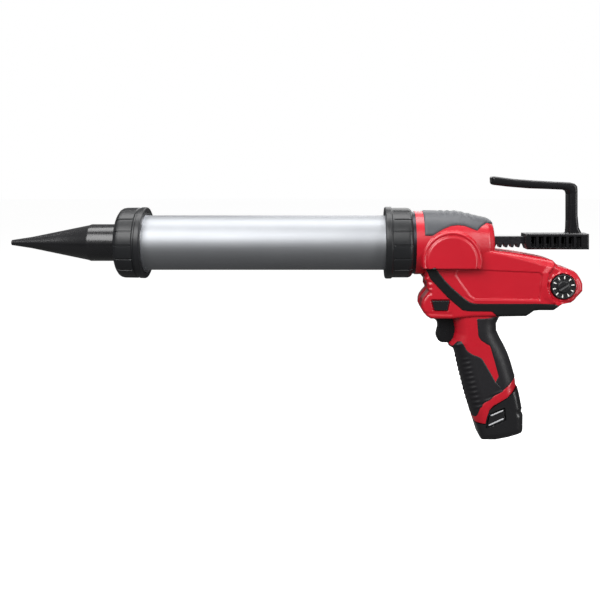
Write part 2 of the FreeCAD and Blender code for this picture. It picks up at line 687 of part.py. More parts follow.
def worm():
    """A single-start worm on the shaft that the planet carrier turns."""
    length = float(D.worm_length)
    lead = math.pi * float(D.gear_module)
    thread = worm_thread()
    thread.translate(V(0, 0, lead / 2))
    core = Part.makeCylinder(float(D.worm_pitch_radius) - 1.25, length)
    solid = fused([core, thread])
    turns = (length / 2 - lead) / lead
    spin = FreeCAD.Rotation(Z_AXIS, TURN * (0.5 - turns))
    solid.Placement = FreeCAD.Placement(V(0, 0, 0), spin)
    start = float(D.lay_x) - length / 2
    front = float(worm_front) - start
    back = float(D.carrier_front + D.carrier_plate) - start
    stem = Part.makeCylinder(float(worm_shaft_radius), back - front, V(0, 0, front))
    formed("worm", fused([solid, stem]), (D.lay_x - D.worm_length / 2, 0, motor_z),
           FreeCAD.Rotation(Z_AXIS, X_AXIS))
    rings = []
    for x, width in ((bridge_front, 5.0), (rear_plate, 2.5)):
        outer = rod(worm_shaft_radius + D.bush_wall, (x, 0, motor_z), (x + width, 0, motor_z))
        rings.append(outer.cut(rod(worm_shaft_radius + D.running_fit, (x - 1.0, 0, motor_z),
                                   (x + width + 1.0, 0, motor_z))))
    formed("worm_bearings", Part.makeCompound(rings))


def planet_stage():
    """Sun, three planets on the carrier's pins, and a ring gear seated on the gear case."""
    module = float(D.planet_module)
    pitch_circle = D.planet_module * (D.sun_teeth + D.planet_teeth) / 2
    centre = (ring_front, 0, motor_z)
    formed("sun_gear", gear(D.sun_teeth, D.planet_module, D.planet_width, D.motor_shaft), centre)
    half_tooth = TURN / float(D.planet_teeth) / 2
    pins = []
    for index in range(3):
        way = TURN * index / 3
        angle = math.radians(way)
        side, up = float(pitch_circle) * -math.sin(angle), float(pitch_circle) * math.cos(angle)
        planet = gear(D.planet_teeth, D.planet_module, D.planet_width, D.pin_radius + D.running_fit)
        formed(f"planet_gear_{index + 1}", planet, (ring_front, side, motor_z + up),
               FreeCAD.Rotation(X_AXIS, way + TURN / 2 + half_tooth))
        pins.append(rod(D.pin_radius, (float(D.carrier_plate) - 1, side, up),
                        (float(D.carrier_plate) + 1 + float(D.planet_width), side, up)))
    plate = rod(pitch_circle + 2.6, (0, 0, 0), (D.carrier_plate, 0, 0))
    bore = rod(worm_shaft_radius, (-1, 0, 0), (D.carrier_plate + 1, 0, 0))
    formed("planet_carrier", fused([plate] + pins).cut(bore), (D.carrier_front, 0, motor_z))
    seat = rear_plate + 2.5
    tube = rod(ring_outer, (0, 0, 0), (ring_back - seat, 0, 0))
    room = rod(pitch_circle + 3.2, (-1, 0, 0), (ring_front - seat, 0, 0))
    teeth = Part.Face(gear_wire(D.ring_teeth, module, 1.15 * module, 0.8 * module,
                                float(D.gear_play))).extrude(V(20, 0, 0))
    turn = FreeCAD.Placement(V(float(ring_front - seat) - 0.5, 0, 0), FreeCAD.Rotation())
    teeth.Placement = turn
    formed("ring_gear", tube.cut([room, teeth]), (seat, 0, motor_z))


def motor():
    """A brushed can motor on the worm's axis."""
    centre = (0, 0, motor_z)
    inner = D.motor_radius - D.can_wall
    turned("motor_can", [
        (motor_front, D.bearing_radius), (motor_front, D.motor_radius), (motor_back, D.motor_radius),
        (motor_back, inner), (motor_front + D.bearing_width, inner),
        (motor_front + D.bearing_width, D.bearing_radius)], centre)
    turned("motor_end_bell", [
        (motor_back, D.bearing_radius), (motor_back, D.motor_radius - 0.5),
        (motor_back + D.bearing_width, D.motor_radius - 1.5),
        (motor_back + D.bearing_width, D.bearing_radius)], centre)
    magnets = rod(inner, (0, 0, 0), (26, 0, 0)).cut([
        rod(inner - D.magnet_wall, (-1, 0, 0), (27, 0, 0)), box((-1, 27), (-2, 2), (-20, 20))])
    formed("motor_magnets", magnets, (motor_front + 4.0, 0, motor_z))
    bearings = []
    for x in (motor_front, motor_back):
        outer = rod(D.bearing_radius, (x, 0, motor_z), (x + D.bearing_width, 0, motor_z))
        bearings.append(outer.cut(rod(D.motor_shaft + D.running_fit, (x - 1.0, 0, motor_z),
                                      (x + D.bearing_width + 1.0, 0, motor_z))))
    formed("motor_bearings", Part.makeCompound(bearings))
    turned("motor_rotor", [
        (ring_front, 0), (ring_front, D.motor_shaft), (motor_front + 5.0, D.motor_shaft),
        (motor_front + 5.0, D.rotor_radius), (motor_back - 7.5, D.rotor_radius),
        (motor_back - 7.5, D.bearing_radius + 0.5), (motor_back - 2.0, D.bearing_radius + 0.5),
        (motor_back - 2.0, D.motor_shaft), (motor_back + D.bearing_width + 0.5, D.motor_shaft),
        (motor_back + D.bearing_width + 0.5, 0)], centre)


# ---------------------------------------------------------------- casing

BODY = [
    (12, 5), (11.5, -32.5), (9.6, -35.6, 1.5), (12.9, -40, 1), (12.1, -44, 1.5), (14.5, -48, 1),
    (6.9, -57.4, 5), (6.5, -66.6, 5), (12.1, -73.4, 3), (16.1, -76), (37.8, -76), (60, -74),
    (96, -73.4, 2), (113.5, -73, 5), (120, -68.3, 4), (126, -67, 2), (141.6, -67, 3),
    (147.8, -62.8, 2), (151, -61, 2), (160.3, -59.8, 3), (166.3, -54.6, 2), (169.6, -51.5, 2),
    (172.6, -48.3, 2), (172.6, -41, 2), (170.5, -35.5, 2), (164.5, -28, 3), (158.5, -25.5, 3),
    (147.3, -22.4, 3), (141, -16.4, 3), (122, -12.2, 30), (94.5, -8, 60), (80, -6.4),
]
NOSE = [(1, 0.0), (11.5, -0.2), (45, -0.8), (57, -3.4), (66, -5.6), (76, -7.8), (81, -10.9), (82, -12.5)]
HANDLE = [
    (36, -68), (40.6, -81.2, 12), (42, -92, 12), (36.1, -104.1, 2), (42.4, -109.2, 2),
    (48, -131.3, 40), (61, -179.4), (62, -183.7, 2), (72, -183.6, 2), (76, -169.2, 5),
    (94.4, -156.5, 20), (105.6, -146, 2), (100.8, -125.2, 60), (92.9, -105.3, 30),
    (84.7, -88.1, 10), (86.5, -75.3, 8), (97.8, -70),
]


def nose_solid(shrink=0.0):
    front = float(NOSE[0][0]) - (10.0 if shrink else 0.0)
    outer = float(D.nose_radius) - float(shrink)
    profile = [(front, outer)] + [(x, outer + drop) for x, drop in NOSE[1:-1]]
    end = NOSE[-1][0] - float(shrink)
    last = outer + NOSE[-1][1]
    trimmed = [pair for pair in profile if pair[0] < end] + [(end, last)]
    return revolved(trimmed)


def stepped_slab(outline, half_width, edge, shrink=0.0):
    """An outline's plate with a step drawn in at both faces."""
    half, edge, shrink = float(half_width), float(edge), float(shrink)
    wide = slab(outline, -(half - edge) + shrink, half - edge - shrink, shrink)
    narrow = slab(outline, -half + shrink, half - shrink, edge + shrink)
    return wide.fuse(narrow)


def body_solid(shrink=0.0):
    return stepped_slab(BODY, D.body_half_width, D.body_edge, shrink)


def handle_solid(shrink=0.0):
    return stepped_slab(HANDLE, D.handle_half_width, D.handle_edge, shrink)


def bulge_solid(shrink=0.0):
    """The round boss over the clutch gear, on the left side only, with a sloping rim."""
    shrink = float(shrink)
    radius, face = float(D.bulge_radius) - shrink, float(D.bulge_face) - shrink
    edge = float(D.bulge_edge)
    base = V(float(D.bulge_x), 0, float(D.bulge_z))
    back = V(0, -1, 0)
    drum = Part.makeCylinder(radius, face - edge, base, back)
    rim = Part.makeCone(radius, radius - edge, edge, base + back * (face - edge), back)
    above = box((-10, 90), (-60, 0), (float(D.bulge_floor) + shrink, 60))
    return drum.fuse(rim).common(above)


TOP_GRIP = [(10.6, 40), (10.6, 9.8), (17.8, 9.8), (22.5, 13.4), (28.7, 16.8), (35.8, 18.6),
            (43, 19), (50, 18), (56.2, 16.2), (65, 12.6), (78.5, 24), (74, 40)]
BAND = [(19.1, -22), (30.3, -36.2), (43.5, -49), (55.7, -58.6), (65.9, -60.1), (142.3, -60.7),
        (150, -64), (150, -82), (78.1, -82), (78.1, -68.3), (55.7, -67.8), (48.2, -66.8),
        (32.7, -53.5), (15.5, -35.2), (11, -25)]
FRONT_GRIP = [(30, -109), (37.8, -106.6), (44.1, -99.9), (47.8, -99.5), (53.5, -108.8),
              (65.7, -114.9), (68.7, -116.8), (77.2, -131.1), (82.3, -140.1), (88.6, -151.3),
              (73.4, -161), (67.7, -168), (63.8, -180), (50, -181)]
REAR_GRIP = [(82.3, -140.1), (85.2, -134.7), (76.5, -103.8), (72.9, -102), (67.1, -98),
             (64.3, -93), (63.1, -76), (112, -76), (125, -115), (112, -134.5), (102.4, -138.5),
             (88.6, -151.3)]


def region(outline):
    return slab(outline, -60, 60)


def grip_layers():
    """The rubber's envelopes, each the outer layer of the casing inside one side outline."""
    thin = float(D.wall) / 2
    nose = nose_solid().cut(nose_solid(thin))
    handle = handle_solid().cut([handle_solid(thin), body_solid(), battery_well()])
    return {
        "top_grip": nose.common(region(TOP_GRIP)),
        "handle_front_grip": handle.common(region(FRONT_GRIP)),
        "handle_rear_grip": handle.common(region(REAR_GRIP)),
    }


def biggest(shape):
    return max(shape.Solids, key=lambda solid: solid.Volume)


seam_spots = [(19.0, -41.0), (51.0, -62.5), (94.0, -63.5), (101.0, -16.0), (146.0, -26.5),
              (122.0, -63.0)]


def casing_outer():
    return nose_solid().fuse([body_solid(), handle_solid(), bulge_solid()])


def casing_inner():
    """The room inside the casing: nose, body, gear bulge, switch room and battery well."""
    wall = D.wall
    switch_room = slab([(44, -70), (44, -104), (87, -104), (81.7, -90), (83, -77), (89, -70)], -17, 17)
    room = nose_solid(wall).fuse([body_solid(wall), bulge_solid(wall), switch_room])
    neck_room = rod(neck_foot_radius + D.fit, (-2, 0, 0), (14, 0, 0))
    return room.fuse([neck_room, battery_well()])


def battery_well():
    gap = float(D.fit)
    depth, width = float(D.stem_half_depth) + gap, float(D.stem_half_width) + gap
    return handle_post(depth, width, (-60, D.stem_height + 9.5))


def casing_ribs():
    """Motor cradles, board pillars and seam bosses that stand inside the shell."""
    half = float(D.body_half_width)
    cradle = [box((x, x + 2.0), (-half, half), (motor_z - 16, motor_z + 24))
              for x in (motor_front + 6.0, motor_back - 6.0)]
    room = rod(D.motor_radius, (motor_front - 1, 0, motor_z), (motor_back + 1, 0, motor_z))
    cradle = [plate.cut(room) for plate in cradle]
    pillars = [box((x, x + 3), (-12, 12), (-80, board_z)) for x in (104, 136)]
    bosses = [rod(D.boss_radius, (x, -half, z), (x, half, z)) for x, z in seam_spots]
    cup = rod(D.dial_radius + 3.0, (D.dial_x, -half, D.dial_z), (D.dial_x, dial_floor + 2.4, D.dial_z))
    return cradle + pillars + bosses + [cup]


board_z = -58.6
dial_back = -(D.body_half_width - D.dial_thickness + 1.0)
dial_floor = dial_back + D.fit


def button_outline(grow=0.0):
    return [(16.6 - grow, -56.9 + grow, 1.5), (35 + grow, -56.9 + grow, 1.5),
            (32.6 + grow, -67 - grow, 1.5), (19.4 - grow, -67 - grow, 1.5)]


def casing_openings():
    """Every hole through the casing."""
    half = float(D.body_half_width)
    across, height = rack_window(0.6)
    slot = float(D.trigger_half_width + D.fit)
    cuts = [
        box((70, 92), across, height),
        slab(button_outline(float(D.fit)), -40, 40),
        box((24, 60), (-slot, slot), (-104, -76.2)),
        rod(D.dial_radius + D.fit, (D.dial_x, -half - 1, D.dial_z), (D.dial_x, dial_floor, D.dial_z)),
        rod(3.0 + D.fit, (D.dial_x, -half, D.dial_z), (D.dial_x, 0, D.dial_z)),
    ]
    cuts += [rod(D.seam_screw_radius, (x, -15, z), (x, half + 1, z)) for x, z in seam_spots]
    cuts += [rod(3.0, (x, half - 6.0, z), (x, half + 1, z)) for x, z in seam_spots]
    return cuts


def casing():
    """Two halves that meet at Y = 0, and the rubber laid into their outer layer."""
    outer = casing_outer()
    layers = grip_layers()
    ribs = [rib.common(outer) for rib in casing_ribs()]
    keep_clear = gear_room()
    shell = outer.cut(casing_inner()).fuse(ribs).cut(keep_clear)
    shell = shell.cut(casing_openings() + list(layers.values()))
    for label, side in (("left_housing", -1), ("right_housing", 1)):
        low, high = sorted((0, side * 60))
        half = shell.common(box((-20, 220), (low, high), (-230, 60)))
        formed(label, biggest(half))
    for label, layer in layers.items():
        formed(label, biggest(layer.cut(box((24, 60), (-9.3, 9.3), (-104, -76.2)))))
    for label, side in (("left_band", -1), ("right_band", 1)):
        low, high = sorted((side * 18.0, side * float(D.body_half_width + D.band_lift)))
        band = slab(BAND, low, high).common(stepped_slab(BODY, D.body_half_width + 4.0, 3.0))
        formed(label, biggest(band.cut([outer, *casing_openings()])))
    heads = [(x, float(D.body_half_width) - 6.0, z) for x, z in seam_spots]
    screws("housing_screws", heads, -Y_AXIS, 2.4, 24.0, 2.8, D.seam_screw_radius)


def gear_room():
    """The space that the gears, the ring gear and the shafts need inside the bosses."""
    gap = 0.6
    tip = D.gear_module * (D.clutch_teeth / 2 + 1.0) + gap
    return [rod(ring_outer + gap, (rear_plate - 1, 0, motor_z), (motor_front, 0, motor_z)),
            rod(tip, (D.pinion_x, gear_side - gap, pinion_z),
                (D.pinion_x, gear_side + D.gear_width + gap, pinion_z))]


# ---------------------------------------------------------------- controls

trigger_z = -90.0


def trigger():
    outline = [(16.5, -76.5), (19.6, -77.9, 3), (24.4, -81.6, 5), (25.8, -88, 6), (24, -95.4, 5),
               (25.4, -101, 4), (30, -103.6, 4), (48, -103.6), (48, -76.5)]
    half = float(D.trigger_half_width)
    blade = slab(outline, -half, half)
    pusher = rod(2.0, (47, 0, trigger_z), (57, 0, trigger_z))
    formed("trigger", fused([blade, pusher]))
    body = box((56, 76), (-8, 8), (-99, -79.5))
    formed("trigger_switch", body.cut(rod(2.3, (55, 0, trigger_z), (66, 0, trigger_z))))
    helix = Part.makeHelix(1.5, 6.6, 3.2)
    helix.Placement = FreeCAD.Placement(V(0, 0, 0.7), FreeCAD.Rotation())
    wire = Part.Wire(Part.makeCircle(0.5, V(3.2, 0, 0.7), Y_AXIS))
    coil = Part.Wire(helix.Edges).makePipeShell([wire], True, True)
    formed("trigger_spring", coil, (48, 0, trigger_z), FreeCAD.Rotation(Z_AXIS, X_AXIS))


def lock_button():
    half = float(D.button_half_length)
    formed("lock_button", slab(button_outline(), -half, half))


def speed_dial():
    """A disc with a raised hub and finger notches, and the control that it turns."""
    radius, face = float(D.dial_radius), -float(D.body_half_width + 1.0)
    back = float(dial_back)
    disc = rod(radius, (0, face, 0), (0, back, 0))
    dish = rod(radius - 1.2, (0, face - 1, 0), (0, face + 1.2, 0))
    hub = rod(D.dial_hub_radius, (0, face - 0.6, 0), (0, back, 0))
    shaft = rod(3.0, (0, back - 1, 0), (0, -16, 0))
    formed("speed_dial", fused([disc.cut(dish), hub, shaft]), (D.dial_x, 0, D.dial_z))
    shell = box((-7, 7), (-17.9, -10), (-7, 7))
    formed("speed_potentiometer", shell.cut(rod(3.0 + D.running_fit, (0, -19, 0), (0, -15.5, 0))),
           (D.dial_x, 0, D.dial_z))


def control_board():
    board = box((100, 141), (-15, 15), (board_z, board_z + 1.6))
    parts = [box((104, 112), (-10, -2), (board_z + 1.5, board_z + 4.0)),
             box((118, 130), (2, 12), (board_z + 1.5, board_z + 5.0)),
             rod(3.0, (135, -8, board_z + 1.5), (135, -8, board_z + 5.5))]
    formed("control_board", fused([board] + parts))


# ---------------------------------------------------------------- battery

BATTERY = [
    (62.8, -184.5), (67.5, -199.6, 2), (69.5, -202.2, 2), (83, -202.4, 30), (96, -200, 20),
    (110, -195.5, 3), (112, -191.2, 2), (111.2, -169.6, 2), (105.9, -147, 1), (94.6, -157.4, 20),
    (76.6, -169.6, 5), (72.4, -184.5, 2),
]


def battery():
    """A moulded foot with the stem that enters the handle, its cells, blades and side latches."""
    foot = stepped_slab(BATTERY, D.battery_half_width, D.handle_edge)
    depth, width = float(D.stem_half_depth), float(D.stem_half_width)
    top = float(D.stem_height)
    stem = handle_post(depth, width, (stem_bottom, top))
    cells_at = [(-8.8, -9.3), (-8.8, 9.3), (8.9, 0.0)]
    bottom = top - 1.0 - float(D.cell_length)
    cells = [rod(D.cell_radius, in_handle(across, side, bottom), in_handle(across, side, top - 1.0))
             for across, side in cells_at]
    blades = [handle_box((across - 2.5, across + 2.5), (-0.4, 0.4),
                         (top - 1.0, top + float(D.blade_height))) for across in (-12, -3, 6)]
    case = foot.fuse(stem)
    for side in (-1, 1):
        case = case.cut(latch_box(side, 0.3, 6.0))
    formed("battery_case", biggest(case.cut(cells + blades)))
    formed("battery_cells", Part.makeCompound(cells))
    formed("battery_terminals", Part.makeCompound(blades))
    block = handle_box((-depth, 12), (-width, width), (top + 0.4, top + 7.6))
    slots = [handle_box((across - 2.9, across + 2.9), (-0.8, 0.8),
                        (top, top + float(D.blade_height) + 0.6)) for across in (-12, -3, 6)]
    formed("terminal_block", block.common(handle_post(depth, width, (top, top + 8))).cut(slots))
    for label, side in (("latch_left", -1), ("latch_right", 1)):
        formed(label, Part.makeCompound([latch_box(side, 0.0, float(D.latch_thickness))]))


def latch_box(side, gap, depth):
    """A latch pad's box, or its pocket when a gap and a greater depth are given."""
    face = side * (float(D.battery_half_width) + 0.6)
    floor = face - side * (depth + 0.6)
    return handle_box((-9 - gap, 7 + gap), sorted((face, floor)), (-33 - gap, -18.8 + gap))


# ---------------------------------------------------------------- build, check and write

def build():
    nozzle()
    front_cap()
    barrel()
    rear_collar()
    front_neck()
    screws("neck_screws", neck_screw_spots(plate_back - D.neck_plate), X_AXIS, D.screw_head,
           D.neck_plate + 3.5, D.screw_head_radius, D.screw_radius)
    rack_rod()
    piston()
    pull_handle()
    gear_case()
    drive_shafts()
    worm()
    planet_stage()
    motor()
    casing()
    trigger()
    lock_button()
    speed_dial()
    control_board()
    battery()


def check_and_write():
    doc.recompute()
    for item in doc.Objects:
        if "Invalid" in item.State or "Error" in item.State:
            raise RuntimeError(f"{item.Label} failed: {item.State}")
    os.makedirs("parts", exist_ok=True)
    for node in NODES:
        if node.Shape.isNull() or not node.Shape.isValid() or not node.Shape.Solids:
            raise RuntimeError(f"{node.Label} has no valid solid")
    for node in NODES:
        node.Shape.exportStep(os.path.join("parts", node.Label + ".step"))
    print(len(NODES), "nodes written")


build()
check_and_write()
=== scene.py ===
import json
import math

import bmesh
import bpy
import numpy as np
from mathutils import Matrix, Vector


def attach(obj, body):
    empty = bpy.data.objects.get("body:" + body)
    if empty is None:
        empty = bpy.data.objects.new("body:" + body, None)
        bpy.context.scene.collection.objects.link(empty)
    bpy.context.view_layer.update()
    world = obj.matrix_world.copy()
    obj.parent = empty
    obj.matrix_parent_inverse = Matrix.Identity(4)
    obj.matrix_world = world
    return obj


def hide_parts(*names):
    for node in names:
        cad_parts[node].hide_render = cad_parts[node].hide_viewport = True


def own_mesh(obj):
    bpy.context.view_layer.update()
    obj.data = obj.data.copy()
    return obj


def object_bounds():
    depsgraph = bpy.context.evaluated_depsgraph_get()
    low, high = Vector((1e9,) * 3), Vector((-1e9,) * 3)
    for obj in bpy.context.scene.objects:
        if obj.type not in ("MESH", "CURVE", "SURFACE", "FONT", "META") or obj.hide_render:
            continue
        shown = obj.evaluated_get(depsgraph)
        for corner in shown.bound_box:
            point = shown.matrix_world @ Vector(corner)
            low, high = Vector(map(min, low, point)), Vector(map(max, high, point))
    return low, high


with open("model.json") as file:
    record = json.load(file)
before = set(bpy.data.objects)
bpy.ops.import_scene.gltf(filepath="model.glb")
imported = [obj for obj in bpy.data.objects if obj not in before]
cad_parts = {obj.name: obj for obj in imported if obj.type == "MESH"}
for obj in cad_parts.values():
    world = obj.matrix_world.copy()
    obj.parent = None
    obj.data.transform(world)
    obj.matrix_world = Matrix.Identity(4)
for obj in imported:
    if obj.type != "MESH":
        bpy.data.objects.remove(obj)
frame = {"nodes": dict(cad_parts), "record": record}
cad_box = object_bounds()

MM = 0.001
WELD = 1e-6                              # points closer than this, in metres, become one
CREASE, SOFT_CREASE = 38, 50             # degrees between faces, past which an edge is sharp
NEAR, FAR = -1, 1

# ---------------------------------------------------------------- outlines, in millimetres (X, Z)

BODY = [
    (12, 5), (11.5, -32.5), (9.6, -35.6), (12.6, -39.6), (12.1, -44), (14.3, -48), (11, -52),
    (8, -56), (6.7, -60), (6.5, -65), (8.6, -69.6), (12.1, -73.4), (16.1, -76), (37.8, -76),
    (60, -74), (96, -73.4), (113.5, -73), (117.5, -70.5), (121.5, -67.6), (126, -67), (141.6, -67),
    (147.8, -62.8), (151, -61), (160.3, -59.8), (163.8, -57.6), (166.3, -54.6), (169.6, -51.5),
    (172.6, -48.3), (172.6, -41), (170.5, -35.5), (168, -31), (164.5, -28), (158.5, -25.5),
    (147.3, -22.4), (144, -18.8), (141, -16.4), (132, -14), (122, -12.2), (108, -9.8),
    (94.5, -8), (80, -6.4),
]
HANDLE = [
    (36, -66), (40.6, -81.2), (41.9, -87), (42, -92), (40.4, -98), (36.1, -104.1), (37.6, -106.6),
    (42.4, -109.2), (44.6, -116), (48, -131.3), (54, -155), (61, -179.4), (62, -183.7),
    (72, -183.6), (73.6, -176), (76, -169.2), (80, -165), (87, -161), (94.4, -156.5),
    (105.6, -146), (104.6, -139), (100.8, -125.2), (97, -114), (92.9, -105.3), (88.5, -97.5),
    (85.2, -90), (84.9, -83), (88.5, -75.3), (97.8, -68),
]
NOSE_X = [1, 11.5, 45, 57, 66, 76, 81, 82]
NOSE_R = [33.1, 32.9, 32.3, 29.7, 27.5, 25.3, 22.4, 20.6]
BAND = [
    (11, -25), (19.1, -22), (30.3, -36.2), (36.5, -42.8), (43.5, -49), (50, -54.6), (55.7, -58.6),
    (60, -59.8), (65.9, -60.1), (132, -60.1), (142.3, -60.7), (147.8, -63), (141.6, -67.4),
    (126, -67.4), (121.5, -68), (113.5, -73.4), (84, -73.9), (78.1, -68.3), (55.7, -67.8),
    (52, -67.6), (48.2, -66.8), (40.5, -60.4), (32.7, -53.5), (24, -44.4), (15.5, -35.2),
]
PANEL = [(40.5, -31.1), (43.2, -24.5), (127, -28.1), (130.1, -31.1), (127, -56.6), (60.8, -55.6),
         (55.7, -52.5)]
FRONT_GRIP = [
    (35.2, -106.4), (37.8, -106.6), (41, -103), (44.1, -99.9), (47.8, -99.5), (50.2, -103),
    (53.5, -108.8), (59, -112.4), (65.7, -114.9), (68.7, -116.8), (73, -123.8), (77.2, -131.1),
    (82.3, -140.1), (87.8, -145.4), (89.8, -150.4), (82, -155.6), (75.6, -159.8), (70, -163.8),
    (67.4, -168), (64.8, -175.6), (63, -178), (54, -178.4),
    (47, -150), (41, -120),
]
HANDLE_SIDES = [
    (36, -60), (40.6, -81.2), (41.9, -87), (42, -92), (40.4, -98), (36.1, -104.1), (37.6, -106.6),
    (42.4, -109.2), (44.6, -116), (48, -131.3), (54, -155), (61, -179.4), (68, -206), (116, -206),
    (111.2, -169.6), (105.6, -146), (104.6, -139), (100.8, -125.2), (97, -114), (92.9, -105.3),
    (88.5, -97.5), (85.2, -90), (84.9, -83), (88.5, -75.3), (97.8, -68), (97.8, -60),
]
BATTERY_SIDES = [
    (62.8, -184.5), (65, -191.6), (67.5, -199.6), (69.5, -202.2), (83, -202.4), (96, -200),
    (105, -197.4), (110, -195.5), (111.6, -193.2), (112, -191.2), (112.2, -176), (110.4, -172.6),
    (111.2, -169.6), (108.8, -157), (100, -120), (50, -140),
]
REAR_GRIP = [
    (82.3, -140.1), (85.2, -134.7), (81, -119), (76.5, -103.8), (72.9, -102), (67.1, -98),
    (64.9, -94.6), (64.3, -91), (63.1, -76), (77.9, -75.3), (84, -73.6), (97.8, -73.4),
    (112, -80), (125, -115), (112, -134.6), (103.4, -138.2), (95, -145.5), (88.6, -151.2),
    (86.4, -146.2),
]
STRIP = [
    (58.7, -177.6), (63.8, -177.2), (66, -170), (69, -164.6), (73.4, -160.4), (80, -155.8),
    (88.6, -150.6), (96, -144.6), (103.4, -138.2), (108, -137), (107, -146.8), (104.9, -146),
    (93.7, -155.9), (84, -162), (78.5, -165.7), (75.4, -168), (73.6, -171), (69.8, -183.7),
    (58, -183.7),
]
BATTERY = [
    (62.8, -184.5), (65, -191.6), (67.5, -199.6), (69.5, -202.2), (83, -202.4), (96, -200),
    (105, -197.4), (110, -195.5), (111.6, -193.2), (112, -191.2), (112.2, -176), (110.4, -172.6),
    (111.2, -169.6), (108.8, -157), (105.9, -147), (94.6, -157.4), (84, -164.4), (76.6, -169.6),
    (75, -173), (72.4, -184.5),
]
LATCH = [(73.6, -187.4), (76.6, -174.8), (91.4, -168.4), (92.4, -179.6)]
LATCH_RIBS = [((77.4, -175.4), (90.2, -169.9)), ((75.2, -185.3), (90.8, -178.2))]
TRIGGER = [
    (16.5, -76.5), (19.6, -77.9), (22.6, -79.8), (24.4, -81.6), (25.5, -84.6), (25.8, -88),
    (24.9, -91.6), (24, -95.4), (24.2, -98.4), (25.4, -101), (27.4, -102.8), (30, -103.6),
    (48, -103.6), (48, -76.5),
]
BUTTON = [(17.1, -57.1), (34.4, -57.1), (32.3, -66.8), (19.6, -66.8)]
PULL_BLOCK = [
    (115.5, 9.8), (114.7, 1), (117.8, -6.45), (182, -6.45), (182, 9.8),
]
PULL_ARM = [
    (160.6, 6), (161.1, 16), (161.5, 24), (161.5, 51.5), (160.6, 54.2), (158, 55.4), (140, 56.2),
    (120, 56.9), (100, 58.6), (85, 60.4), (82.6, 61.2), (81.6, 63.2), (81.4, 68), (82.2, 69.2),
    (84.4, 69.6), (105, 66.9), (125, 65.4), (145, 64.2), (163, 63.4), (168, 62), (170.6, 59.4),
    (171.2, 56), (171.2, 28), (172.4, 16), (176.4, 8), (176, 5),
]

BULGE_X, BULGE_Z, BULGE_R, BULGE_FLOOR = 36.5, -16.4, 30.8, -24.6
DIAL_X, DIAL_Z, DIAL_R, DIAL_MARKS = 151.0, -43.0, 12.5, 10
HALF_BODY, HALF_HANDLE, HALF_BATTERY = 25.0, 22.0, 21.6
HANDLE_ROUND = 15.0
SCREW_SPOTS = [(19, -41), (51, -62.5), (94, -63.5), (101, -16), (146, -26.5), (122, -63)]
SCREW_SEAT_RADIUS, SCREW_SEAT_DEPTH = 3.3, 6.0
PANEL_DEPTH, CHIN_DEPTH, BUTTON_POCKET, DIAL_POCKET, DIAL_RIM = 1.3, 0.7, 1.5, 6.5, 1.1
SEAM_GAP, SLOT_WALL = 0.12, 9.4          # half the gap between the shells; trigger slot's side
BELOW = -50.0                            # a height that every other one covers
BAND_LIFT, GRIP_LIFT, WALL = 1.0, 0.5, 2.0
TILT = math.radians(14)


# ---------------------------------------------------------------- shape formulas

def inside_of(outline, x, z):
    """Signed distance to a closed outline: the shortest distance to any edge, positive where a
    ray along +X crosses the outline an odd number of times, which is the inside."""
    corners = np.asarray(outline, float)
    nearest = np.full(np.shape(x), 1e9)
    within = np.zeros(np.shape(x), bool)
    for (ax, az), (bx, bz) in zip(corners, np.roll(corners, -1, axis=0)):
        dx, dz = bx - ax, bz - az
        along = np.clip(((x - ax) * dx + (z - az) * dz) / (dx * dx + dz * dz), 0, 1)
        nearest = np.minimum(nearest, np.hypot(x - ax - along * dx, z - az - along * dz))
        if az != bz:
            within ^= ((az > z) != (bz > z)) & (x < ax + (z - az) * dx / dz)
    return np.where(within, nearest, -nearest)


def field_of(outline, more=0.0):
    """The outline's signed distance as a field, grown by more."""
    return lambda x, z: inside_of(outline, x, z) + more


def flat_at(height):
    """A flat height, the same everywhere."""
    return lambda x, z, side: height + 0.0 * x


def plain_height(outline, radius, half, more=0.0):
    """A flat side at half, with edges rounded by radius, for an outline grown by more."""
    return lambda x, z, side: round_over(np.maximum(inside_of(outline, x, z) + more, 0), radius,
                                         half)


def ease(t):
    """0 below 0, 1 above 1, and the smooth cubic 3t² - 2t³ between."""
    t = np.clip(t, 0, 1)
    return t * t * (3 - 2 * t)


def round_over(depth, radius, height):
    """A face at a given height whose edge is a quarter circle: at a distance inside the outline
    less than the radius, the height falls along the circle, and outside the outline it is low."""
    short = np.clip(radius - depth, 0, radius)
    return np.where(depth >= -0.6, height - radius + np.sqrt(radius ** 2 - short ** 2), BELOW)


def ridge(distance, width):
    """A bump of height 1 that falls off as a bell curve with distance."""
    return np.exp(-(distance / width) ** 2)


def from_line(x, z, start, end):
    """Distance from a straight run between two points."""
    dx, dz = end[0] - start[0], end[1] - start[1]
    along = np.clip(((x - start[0]) * dx + (z - start[1]) * dz) / (dx * dx + dz * dz), 0, 1)
    return np.hypot(x - start[0] - along * dx, z - start[1] - along * dz)


def nose_radius(x):
    """The nose's radius at x, straight between the points of its profile."""
    return np.interp(x, NOSE_X, NOSE_R)


def nose_field(x, z):
    """Inside the nose's silhouette: under its radius and between its two ends."""
    return np.minimum(nose_radius(x) - np.abs(z), np.minimum(x - 1, 82 - x))


def nose_height(x, z):
    """The round nose: half the chord of a circle whose radius follows the nose's profile."""
    reach = nose_radius(x) ** 2 - z ** 2
    return np.where((x > 0.7) & (x < 82.4) & (reach > -40), np.sqrt(np.maximum(reach, 0)), BELOW)


def handle_height(x, z):
    """The grip: wide round edges on a slightly crowned side."""
    depth = np.where(inside_of(HANDLE, x, z) > -0.6, inside_of(HANDLE_SIDES, x, z), -9)
    return round_over(depth, HANDLE_ROUND, HALF_HANDLE)


